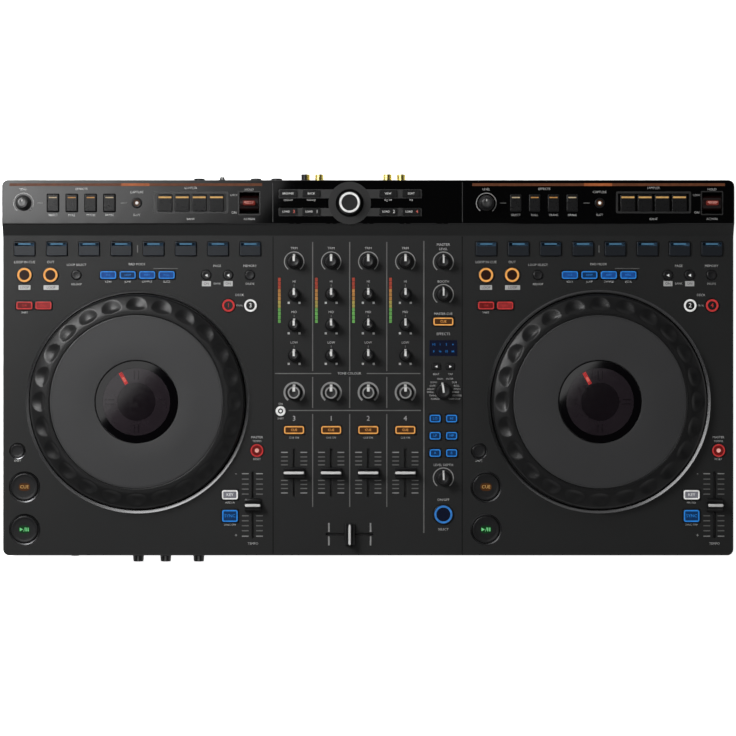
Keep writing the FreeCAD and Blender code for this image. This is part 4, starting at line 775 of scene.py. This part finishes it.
def make_transport_keys(deck, keys):
    x = DECK_X[deck]
    shift = (x + SHIFT_PLACE[0], SHIFT_PLACE[1])
    cue, play = ((x + offset, row) for offset, row in (CUE_PLACE, PLAY_PLACE))
    keys.round(6.3, *shift, edge=0.6, dish=0.3)
    for middle in (cue, play):
        place = keys.round(12.8, *middle, edge=0.8, dish=0.3)
        # painted shade: a dark ring in the gap round the cue and play keys
        lit(f"{deck}_deck", "shadow").band(12.9, 13.5, *PRINT, place)
        lit(f"{deck}_round", "edge").chamfer(13.5, 15.0, 0.3, place @ at(0, 0, 0.25))
    lit(f"{deck}_round", "edge").chamfer(6.8, 7.9, 0.25, at(*shift, PANEL + 0.2))
    dished = CAP_PROUD - 0.27
    for middle, look in ((cue, "orange_deep"), (play, "green_deep")):
        keys.lit(look).strip(11.0, 7.4, CAP_PROUD - 0.4, dished, at(*middle, PANEL), 3.4)
    keys.lit("gold").word("CUE", 4.4, at(*cue, PANEL + dished), LEGEND_TALL)
    place = at(*play, PANEL + dished)
    sign = keys.lit("mint")
    sign.skin([[(-4.4, -1.8, level), (-1.2, 0, level), (-4.4, 1.8, level)]
               for level in (0, LEGEND_TALL)], place)
    for offset in (1.6, 3.6):
        sign.strip(1.1, 3.6, 0, LEGEND_TALL, place @ at(offset, 0))
    sign.strip(0.5, 4.2, 0, LEGEND_TALL, place @ at(0, 0, 0, -20))
    reset = (x + RESET_PLACE[0], RESET_PLACE[1])
    keys.ringed(6.3, 4.9, 6.1, *reset, "red")
    place = at(*reset, PANEL + CAP_PROUD)
    keys.lit("red_deep").band(1.9, 4.8, -0.05, 0.03, place)
    keys.lit("pink").band(0.05, 2.0, -0.05, 0.08, place)
    keys.framed(16.3, 10.0, x + KEY_PLACE[0], KEY_PLACE[1], "white", "grey_lit", "KEY", 3.9, line=1.4)
    keys.framed(16.0, 12.5, x + SYNC_PLACE[0], SYNC_PLACE[1], "blue", "blue_deep", "SYNC", 4.2, line=1.3)


# printed words: (word, offset from the middle of the deck, row, size)
DECK_WORDS = (
    ("LOOP IN CUE", -108.5, 101.6, 2.7), ("OUT", -83.5, 101.6, 2.7), ("LOOP SELECT", -58.6, 99.0, 2.5),
    ("PAD MODE", -0.5, 99.6, 2.6), ("PAGE", 76.5, 98.0, 2.6), ("MEMORY", 108.0, 98.0, 2.6),
    ("RELOOP", -58.6, 80.4, 2.2), ("KEYS", -28.0, 82.8, 2.3), ("JUMP", -9.3, 82.8, 2.3),
    ("SAMPLE", 9.3, 82.8, 2.3), ("SLICE", 28.0, 82.8, 2.3), ("BANK", 76.5, 81.0, 2.2),
    ("DELETE", 108.0, 80.8, 2.1), ("SHIFT", -108.5, 53.2, 2.1), ("DECK", 98.0, 70.0, 2.6),
    ("DUAL", 98.0, 60.0, 1.9), ("SHIFT", -115.2, -89.2, 2.2), ("MASTER", 114.7, -66.6, 2.6),
    ("TEMPO", 114.7, -70.4, 2.2), ("RESET", 114.7, -87.6, 2.3), ("MASTER", 88.8, -129.4, 2.0),
    ("SYNC OFF", 88.8, -150.6, 2.1), ("TEMPO", 110.9, -168.7, 2.6), ("-", 94.6, -101.3, 4.0),
    ("+", 94.6, -160.8, 4.0))
BAR_WORDS = (
    ("LEVEL", -108.6, 171.2, 2.3), ("EFFECTS", -53.0, 171.4, 2.6), ("CAPTURE", 0, 168.4, 2.5),
    ("SAMPLER", 51.6, 172.4, 2.5), ("HOLD", 107.6, 171.0, 2.6), ("LOCK", 93.0, 165.5, 2.2),
    ("ON", 93.0, 148.8, 2.6), ("SELECT", -80.3, 146.4, 2.3), ("ROLL", -62.3, 146.4, 2.3),
    ("TRANS", -44.2, 146.4, 2.3), ("BRAKE", -26.2, 146.4, 2.3), ("SLOT", 0, 146.6, 2.3),
    ("BANK", 51.6, 142.6, 2.4), ("ACTION", 107.6, 142.6, 2.3))
# light plates printed under two keys of each kind, and the dark word on them
PRINTED_PLATES = (("LOOP", -108.5, 77.3, 11.5, 4.4), ("LOOP", -83.0, 77.3, 14.4, 4.4),
                  ("ON", 66.2, 81.0, 8.6, 5.0), ("ON", 87.1, 81.0, 8.6, 5.0))


def make_deck_print(deck):
    x = DECK_X[deck]
    group = f"{deck}_deck"
    labels(group, x, DECK_WORDS)
    tick(group, 23.5, 0.6, x + 27, 95.6)
    for text, offset, row, width, depth in PRINTED_PLATES:
        tick(group, width, depth, x + offset, row, "print")
        label(f"{group}_box", text, x + offset, row, 2.7, "shadow", PANEL + 0.05)
    fader_scale(group, x + TEMPO_OFFSET - 0.6, TEMPO_ROW, 6.8,
                (30.0, 24.8, 20.0, 15.2, 10.4, -10.4, -15.2, -20.0, -24.8, -30.0))


def make_bar_deck(deck):
    """The deck's stretch of the raised bar: the knob's scale, effect keys, capture key, key group and
    lever.
    """
    x = DECK_X[deck]
    node = f"{deck}_bar_buttons"
    group = f"{deck}_bar"
    keys = Keys(piece(f"{deck}_bar_keys", "key", node, stands_for=node), group, node, BAR)
    for offset, look in zip(EFFECT_OFFSETS, ("cream", "amber", "amber", "cream")):
        place = keys.flat(10.6, 16.3, 1.0, x + offset, BAR_ROW, edge=0.6)
        keys.lit(look).strip(7.6, 1.1, CAP_PROUD - 0.1, GLOW_HIGH, place @ at(0, 5.2))
        # painted shade: a dark frame in the recess round each effect key
        lit(f"{group}_recess", "shadow").frame(12.3, 18.0, 1.2, 0.8, *PRINT, place)
    for offset in GROUP_OFFSETS:
        place = keys.flat(14.0, 16.0, 0.8, x + offset, BAR_ROW, edge=0.5)
        keys.lit("gold").strip(12.4, 1.6, CAP_PROUD - 0.1, GLOW_HIGH, place @ at(0, 5.4))
    surround = lit(f"{group}_surround", "stripe")
    surround.frame(72.0, 21.0, 1.6, 2.0, *PRINT, at(x + 51.6, BAR_ROW + 0.6, BAR))
    surround.frame(21.4, 23.0, 0.9, 1.1, *PRINT, at(x + LEVER_OFFSET, BAR_ROW, BAR))
    capture = keys.round(4.6, x, BAR_ROW, edge=0.7, dish=0.2)
    keys.lit("white").band(0.05, 1.5, CAP_PROUD - 0.25, CAP_PROUD - 0.03, capture)
    keys.lit("orange_deep").band(1.5, 2.9, CAP_PROUD - 0.3, CAP_PROUD - 0.05, capture)
    labels(group, x, BAR_WORDS, BAR)
    for offset in (-92.5, -12.5):
        tick(group, 6.0, 0.7, x + offset, BAR_ROW, base=BAR)
    scale_arc(group, x - 108.6, BAR_ROW, 9.5, 0.8, BAR)
    lit(group, "line_dim").strip(242, 2.6, *PRINT, at(x - 1, LINE_ROW, BAR))
    lit(group, "line_lit").strip(27, 2.6, 0, PRINT_HIGH + 0.03, at(x - 1.5, LINE_ROW, BAR))
    make_lever(deck)


def make_lever(deck):
    node = f"{deck}_hold_lever"
    x = DECK_X[deck] + LEVER_OFFSET
    top = box_mm(node)[1].z - BAR
    axle = at(x, BAR_ROW, BAR - LEVER_AXLE)
    piece(f"{deck}_lever_drum", "lever", node, stands_for=node).turned(
        [(1.5, -12.0), (1.5, -9.0), (7.2, -9.0), (7.5, -8.7), (7.5, 8.7), (7.2, 9.0), (1.5, 9.0),
         (1.5, 12.0)], axle @ Matrix.Rotation(math.pi / 2, 4, "Y"), 96)
    piece(f"{deck}_lever_grip", "maroon", node).flat_key(11.5, 4.3, 1.2, LEVER_AXLE, top + LEVER_AXLE,
                                                         axle, edge=0.8)
    mark = piece(f"{deck}_lever_mark", "pink", node)
    for width, depth, offset in ((9.2, 1.3, 0.5), (7.4, 0.6, -0.8)):
        mark.strip(width, depth, top - 0.1, top, at(x, BAR_ROW + offset, BAR), corner=0.25)


def make_deck(deck):
    make_jog_ring(deck)
    make_jog_plate(deck)
    make_display(deck)
    make_bezel(deck)
    make_pads(deck)
    node = f"{deck}_deck_buttons"
    keys = Keys(piece(f"{deck}_key_caps", "button", node, stands_for=node), f"{deck}_key", node)
    make_loop_keys(deck, keys)
    make_transport_keys(deck, keys)
    make_deck_print(deck)
    make_bar_deck(deck)
    make_fader(f"{deck}_tempo_slider", 2.7)
    make_knob(f"{deck}_bar_knob", 13.0, spun_cap=True)


# ---- the mixer in the middle

def make_channel(name):
    x = CHANNEL_X[name]
    make_knob(f"trim_knob_{name}", 14.0, pointer_width=2.2, pointer_reach=0.85)
    label("mixer", "TRIM", x, 115.0)
    scale_arc("mixer", x, middle_mm(f"trim_knob_{name}").y, 9.3, 0.9)
    for band, text in (("high", "HI"), ("mid", "MID"), ("low", "LOW")):
        node = f"{band}_knob_{name}"
        row = middle_mm(node).y
        make_knob(node, 15.0, pointer_width=2.1, pointer_reach=0.95)
        label("mixer", text, x, row + 12.4)
        tick("mixer", 0.7, 2.2, x, row + 8.6)
        for side in (-1, 1):
            tick("mixer", 2.0, 2.0, x + side * 5.2, row - 8.0, "print")
    node = f"colour_knob_{name}"
    row = middle_mm(node).y
    make_knob(node, 14.0, pointer_width=2.5, pointer_reach=0.7)
    piece(f"{node}_ring", "print_mid", node).band(4.4, 5.7, 13.5, 13.96, at(x, row, PANEL))
    scale_arc("mixer", x, row, 9.3, 1.8)
    labels("mixer", x, ((NUMERALS[name], 0, -48.6, 5.4), ("CUE ON", 0, -67.0, 2.0)))
    make_fader(f"channel_fader_{name}", 2.6)
    fader_scale("mixer", x, FADER_ROW, 9.3, (19.4, 15.0, 11.1, 7.4, -7.6, -11.4, -15.3, -19.6))


METER_LOOKS = ("salmon_dim",) * 3 + ("amber",) * 3 + ("yellow",) * 2 + ("green",) * 4


def make_meter(name):
    """A column of level lamps behind the panel's narrow window, red at the top."""
    x = CHANNEL_X[name] + METER_OFFSET
    pitch = METER_LENGTH / len(METER_LOOKS)
    for index, look in enumerate(METER_LOOKS):
        place = at(x, METER_ROW + METER_LENGTH / 2 - (index + 0.5) * pitch, PANEL - SINK)
        lit("meter", look).flat_key(2.5, pitch - 0.4, 0.3, -0.05, 0.55, place, edge=0.12)


def make_mixer_lines():
    """Seams round the mixer's plate and the printed lines between its channels."""
    for seam in (-91.4, 90.2):
        tick("seam", 0.6, 305.0, seam, -26.0, "shadow")
        tick("bar_seam", 0.8, 38.0, seam, BAR_FRONT + 20.5, "stripe", BAR)
    for step in range(3):
        x = CHANNEL_X["three"] + CHANNEL_PITCH * (step + 0.5)
        for front, rear in ((-2.9, 121.0), (-38.4, -8.6), (-133.4, -44.2)):
            tick("mixer", 0.95, rear - front, x, (rear + front) / 2)
    tick("mixer", 1.1, 280.4, CHANNEL_X["four"] + CHANNEL_PITCH / 2, -18.2)
    for left, right, row in ((-89.5, -35.5, -5.3), (-1.5, 50.0, -5.3), (-76.5, 50.5, -40.8)):
        tick("mixer", right - left, 0.95, (left + right) / 2, row)
    label("mixer", "TONE COLOUR", MIXER_X - 0.4, -5.3, 2.6)
    for end in (-1, 1):
        for side in (-1, 1):
            tick("mixer", 1.5, 8.8, MIXER_X + end * 20.0, CROSSFADER_ROW + side * 6.4, "print_mid")


def make_mixer_keys():
    node = "mixer_buttons"
    keys = Keys(piece("mixer_key_caps", "button", node, stands_for=node), "mixer_key", node)
    cues = [(CHANNEL_X[name], CHANNEL_CUE_ROW) for name in CHANNELS] + [(MASTER_X, MASTER_CUE_ROW)]
    for x, row in cues:
        keys.framed(20.2, 8.6, x, row, "orange", "orange_deep", "CUE", 3.2, line=1.2)
    for row, texts in zip(EFFECT_KEY_ROWS, (("LO", "HI"), ("LP", "HP"), ("A", "B"))):
        for side, text in zip((-1, 1), texts):
            keys.framed(11.5, 8.2, MASTER_X + side * EFFECT_KEY_REACH, row, "blue", "blue_deep", text,
                        3.4, line=1.0)
    for side in (-1, 1):
        place = keys.flat(7.5, 5.5, 1.0, MASTER_X + side * 6.85, DISPLAY_SWITCH_ROW)
        keys.lit("white").skin([[(-1.1 * side, -1.1, level), (1.2 * side, 0, level),
                                 (-1.1 * side, 1.1, level)][::side]
                                for level in (CAP_PROUD - 0.02, GLOW_HIGH)], place)
    place = keys.ringed(9.6, 6.7, 8.6, MASTER_X, EFFECT_ON_ROW, "violet")
    keys.lit("navy").band(0.05, 6.5, GLOW_LOW, FIELD_HIGH, place)
    place = keys.ringed(4.9, 2.5, 4.7, *MIXER_SWITCH_PLACE, "white")
    keys.lit("white").band(0.05, 1.3, GLOW_LOW, GLOW_HIGH, place)


# words on the browse keys, and the smaller ones printed under them
BROWSE_WORDS = (("BROWSE", "related"), ("BACK", "history"), ("VIEW", "tag list"), ("SORT", "list"))


def make_load_keys():
    keys = Keys(piece("load_keys", "key", "mixer_buttons"), "mixer_key", "mixer_buttons", BAR)
    browse_row, load_row = LOAD_ROWS
    for offset, channel, (word, note) in zip(LOAD_OFFSETS, CHANNELS, BROWSE_WORDS):
        number = NUMERALS[channel]
        place = keys.flat(17.5, 7.0, 1.0, MIXER_X + offset, browse_row, edge=0.4)
        keys.word("white", word, 2.7, place)
        label("browse", note, MIXER_X + offset, 161.0, 2.4, base=BAR)
        place = keys.flat(17.5, 7.0, 1.0, MIXER_X + offset, load_row, edge=0.4)
        keys.word("white", "LOAD", 2.6, place, -2.0)
        keys.word("salmon" if number in "34" else "white", number, 4.2, place, 5.6)


MASTER_WORDS = (("MASTER", 0, 118.4, 2.9), ("MASTER CUE", 0, 52.0, 2.5), ("EFFECTS", 0, 32.6, 2.9),
                ("ON/OFF", 0, -126.6, 2.6), ("SELECT", 0, -155.0, 2.5), ("BEAT", -6.9, -6.0, 2.1),
                ("TAP", 6.9, -6.0, 2.1))
# effect names round the selector: (word, place across and along from the knob)
SELECTOR_WORDS = (
    ("FLANGE", -7.7, -7.7), ("TRANS", -10.1, -4.4), ("SPIRAL", -12.4, -1.2), ("DELAY", -12.0, 1.8),
    ("GATE", -10.4, 5.0), ("ECHO", -9.2, 8.3), ("HIGH", -3.2, 11.6), ("FILTER", 6.2, 11.6),
    ("DUB", 10.6, 8.3), ("ROLL", 12.8, 5.0), ("PITCH", 13.2, 1.8), ("PHASE", 11.8, -1.2),
    ("REVERSE", 13.2, -4.4), ("TAPE STOP", 10.6, -7.7))
DISPLAY_WORDS = (("1/2", "1", "2", "4"), ("8", "16", "32", "64"))


def make_master_column():
    for node, text in (("master_level_knob", "LEVEL"), ("booth_level_knob", "BOOTH"),
                       ("effect_depth_knob", "LEVEL DEPTH")):
        make_knob(node, 14.0, pointer_width=1.6, pointer_reach=1.1)
        row = middle_mm(node).y
        scale_arc("master", MASTER_X, row, 9.6, 1.0)
        label("master", text, MASTER_X, row + 12.4, 2.6)
    labels("master", MASTER_X, MASTER_WORDS)
    labels("master", MIXER_SWITCH_PLACE[0], (("ON", 0, -34.6, 2.2), ("SHIFT", 0, -48.6, 2.0)))
    make_knob("beat_selector_knob", 13.0, turn=8, pointer_width=1.8, pointer_reach=1.1)
    row = middle_mm("beat_selector_knob").y
    for word, across, along in SELECTOR_WORDS:
        label("selector", word, MASTER_X + across, row + along, 1.9)
    piece("beat_display", "navy").flat_key(
        26.6, 15.0, 0.5, -SINK - 0.05, -0.1, at(MASTER_X, DISPLAY_ROW, PANEL), edge=0.15)
    for line, texts in enumerate(DISPLAY_WORDS):
        for index, text in enumerate(texts):
            place = at(MASTER_X - 9.2 + 6.1 * index, DISPLAY_ROW + 3.3 - 6.6 * line, PANEL - 0.1)
            lit("beat_display_text", "blue").word(text, 2.6, place)


def make_bar_middle():
    """The browse encoder on its grey disc, and the two stripes that hold the load keys."""
    for row, depth in ((166.8, 8.6), (149.3, 7.8)):
        lit("browse", "stripe").strip(137.0, depth, PRINT_LOW, PRINT_HIGH - 0.02,
                                      at(-17.2, row, BAR), 1.0)
    place = at(MIXER_X, BAR_ROW, BAR)
    lit("browse", "disc").band(13.4, 20.4, PRINT_LOW, 0.35, place)
    # painted shade: a dark ring round the base of the browse encoder
    lit("browse", "shadow").band(11.2, 13.3, PRINT_LOW, 0.3, place)
    node = "browse_encoder"
    piece(f"{node}_body", "knob", node, stands_for=node, crease=40).turned(
        [(SHAFT_RADIUS, SHAFT_BOTTOM), (SHAFT_RADIUS, KNOB_LIFT), (10.3, KNOB_LIFT), (10.6, 1.1),
         (10.6, 3.0), (10.3, 10.2), (9.9, 10.9), (7.4, 11.6), (7.1, 11.4), (6.8, 11.0), (0.5, 10.9)],
        place, 144,
        lambda turn, height: -0.2 * max(0.0, math.cos(36 * turn)) if 3.5 < height < 10.5 else 0.0)
    piece(f"{node}_rim", "white", node).turned(
        [(7.7, 11.2), (9.8, 10.2), (9.9, 10.6), (9.6, 11.5), (9.1, 11.95), (8.2, 11.95), (7.75, 11.7)],
        place, 96, closed=True)


# ---- front and rear edges

def edge_knob(node):
    """A small knob on the front or rear face, pointing away from the case."""
    low, high = box_mm(node)
    radius = (high.x - low.x) / 2
    deep = high.y - low.y
    rear = low.y > 0
    turn = Matrix.Rotation(-math.pi / 2 if rear else math.pi / 2, 4, "X")
    place = at((low.x + high.x) / 2, high.y if rear else low.y, (low.z + high.z) / 2) @ turn
    shaft = min(2.5, radius * 0.6)
    skirt = min(radius * 1.15, deep * 0.5)
    piece(f"{node}_grip", "knob", node, stands_for=node, crease=40).turned(
        [(shaft, -deep), (shaft, -skirt), (radius - 0.2, -skirt), (radius, -skirt + 0.2),
         (radius, -skirt + 0.9), (radius - 0.5, -skirt + 1.2), (radius - 0.8, -1.0),
         (radius - 1.0, -0.4), (radius - 1.4, 0.0), (0.5, 0.0)], place, GRIP_FLUTES * 6,
        lambda angle, level: flutes(angle) if -skirt + 1.5 < level < -0.5 else 0.0)
    up = -1 if rear else 1
    inner, outer = up * (radius - 2.0), up * (radius - 0.35)
    piece(f"{node}_pointer", "print_mid", node).skin(
        [[(-0.9, inner, level), (0.9, inner, level), (0.9, outer, level), (-0.9, outer, level)]
         for level in (-skirt + 0.4, -0.3)], place)


for name, look in CAD_LOOKS.items():
    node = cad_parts[name]
    node.data.materials.clear()
    node.data.materials.append(LOOKS[look][0])

for deck in DECKS:
    make_deck(deck)
for channel in CHANNELS:
    make_channel(channel)
    make_meter(channel)
make_mixer_lines()
make_mixer_keys()
make_load_keys()
make_master_column()
make_bar_middle()
make_fader("crossfader", 2.4, across=True)
for knob in ("phones_level_knob", "phones_mix_knob", "front_level_knob", "mic_level_knob"):
    edge_knob(knob)
for made in list(Piece.made.values()):
    made.finish()


# ---- studio

CAMERA_LENS = 150.0
VIEW_WIDTH = 0.7068
SENSOR_WIDTH = 36.0
CAMERA_DISTANCE = VIEW_WIDTH * CAMERA_LENS / SENSOR_WIDTH
FLOOR_REACH = 12.0


def make_camera():
    data = bpy.data.cameras.new("camera")
    data.lens = CAMERA_LENS
    data.sensor_width = SENSOR_WIDTH
    data.clip_end = 50.0
    camera = bpy.data.objects.new("camera", data)
    camera.location = (-0.00024, 0.0, PANEL * MM + CAMERA_DISTANCE)
    add_to_scene(camera)
    bpy.context.scene.camera = camera
    return camera


def make_floor():
    corners = [(side_x * FLOOR_REACH, side_y * FLOOR_REACH, 0)
               for side_x, side_y in ((-1, -1), (1, -1), (1, 1), (-1, 1))]
    mesh = bpy.data.meshes.new("studio_floor")
    mesh.from_pydata(corners, [], [(0, 1, 2, 3)])
    mesh.materials.append(Graph(bpy.data.materials.new("studio_floor")).principled({
        "Base Color": (0.85, 0.85, 0.85, 1), "Roughness": 0.9, "Emission Color": (1, 1, 1, 1),
        "Emission Strength": 0.9}))
    floor = bpy.data.objects.new("studio_floor", mesh)
    add_to_scene(floor)


def make_light(name, place, aim, width, depth, power):
    data = bpy.data.lights.new(name, "AREA")
    data.shape = "RECTANGLE"
    data.size = width
    data.size_y = depth
    data.energy = power
    light = bpy.data.objects.new(name, data)
    light.location = place
    light.rotation_mode = "QUATERNION"
    light.rotation_quaternion = (Vector(aim) - Vector(place)).to_track_quat("-Z", "Y")
    light.visible_camera = False
    add_to_scene(light)
    return light


def make_world():
    """A studio that is pale round the horizon and dark overhead."""
    world = bpy.data.worlds.new("studio")
    bpy.context.scene.world = world
    graph = Graph(world)
    height = graph.add("SeparateXYZ", "Z", {"Vector": graph.add("TexCoord", "Generated", {})})
    sky = graph.ramp(height, (0.4, (0.55, 0.55, 0.55)), (0.8, (0.02, 0.02, 0.021)))
    graph.add("OutputWorld", None, {"Surface": graph.add("Background", "Background", {"Color": sky})})


GLARE_LINE = (Vector((-78.0, 180.0)), Vector((-109.0, 138.2)))
GLARE_HEIGHT = 3500.0
GLARE_LENGTH = 140.0
GLARE_STRIP = 40.0
GLARE_STRIPS = 12
GLARE_FAINT = 0.011
GLARE_RISE = 0.085
LENS_EDGE = {"left": Vector((-7.1, 7.1)), "right": Vector((-18.0, 22.0))}
LENS_REACH = 105.0
LENS_WIDTH = 130.0
LENS_POWER = 0.273


def mirror_scale(camera, base):
    """How far out at the softboxes' height the camera sees what a level surface mirrors at 1 mm."""
    return 1 + (GLARE_HEIGHT - base) / (camera.location.z / MM - base)


def make_softbox(name, middle, turn, width, length, power):
    place = (middle.x * MM, middle.y * MM, GLARE_HEIGHT * MM)
    light = make_light(name, place, (place[0], place[1], 0), width * MM, length * MM, power)
    light.rotation_mode = "XYZ"
    light.rotation_euler = (0, 0, turn)


def make_glare(camera):
    """Softboxes over the camera. Strips that fade to the right are mirrored in the polished bar, behind a
    sharp diagonal edge, and a small one is mirrored in each jog wheel's lens."""
    along = (GLARE_LINE[0] - GLARE_LINE[1]).normalized()
    across = Vector((-along.y, along.x))
    turn = math.atan2(along.y, along.x) - math.pi / 2
    edge = (GLARE_LINE[0] + GLARE_LINE[1]) / 2 * mirror_scale(camera, BAR)
    step = Vector((-1.0, 0.0)) * GLARE_STRIP / -across.x
    for index in range(GLARE_STRIPS):
        power = GLARE_FAINT + GLARE_RISE * ((index + 0.5) / GLARE_STRIPS) ** 1.4
        make_softbox(f"glare_{index}", edge + step * (index + 0.5), turn, GLARE_STRIP, GLARE_LENGTH,
                     power)
    scale = mirror_scale(camera, JOG_TOP)
    for deck in DECKS:
        edge = LENS_EDGE[deck]
        middle = Vector((DECK_X[deck], DECK_Y)) + edge + edge.normalized() * LENS_REACH / 2
        make_softbox(f"{deck}_lens_glare", middle * scale, -math.pi / 4, LENS_REACH * scale,
                     LENS_WIDTH * scale, LENS_POWER)


camera = make_camera()
make_floor()
make_world()
make_light("key", (-0.62, 0.45, 0.85), (-0.1, 0.05, 0.05), 0.4, 0.4, 10.5)
make_light("fill", (0.9, -1.2, 2.0), (0, 0, 0.05), 1.6, 1.6, 2.4)
make_light("front_band", (-0.35, -0.65, 2.6), (-0.35, -0.65, 0), 1.3, 0.7, 0.41)
make_light("rear_band", (0.55, 0.62, 2.6), (0.55, 0.62, 0), 1.1, 0.3, 0.4)
make_light("rim", (-1.35, 1.4, 6.0), (0, 0, 0.05), 2.0, 1.5, 28)
make_glare(camera)
bpy.context.scene.view_settings.view_transform = "Standard"
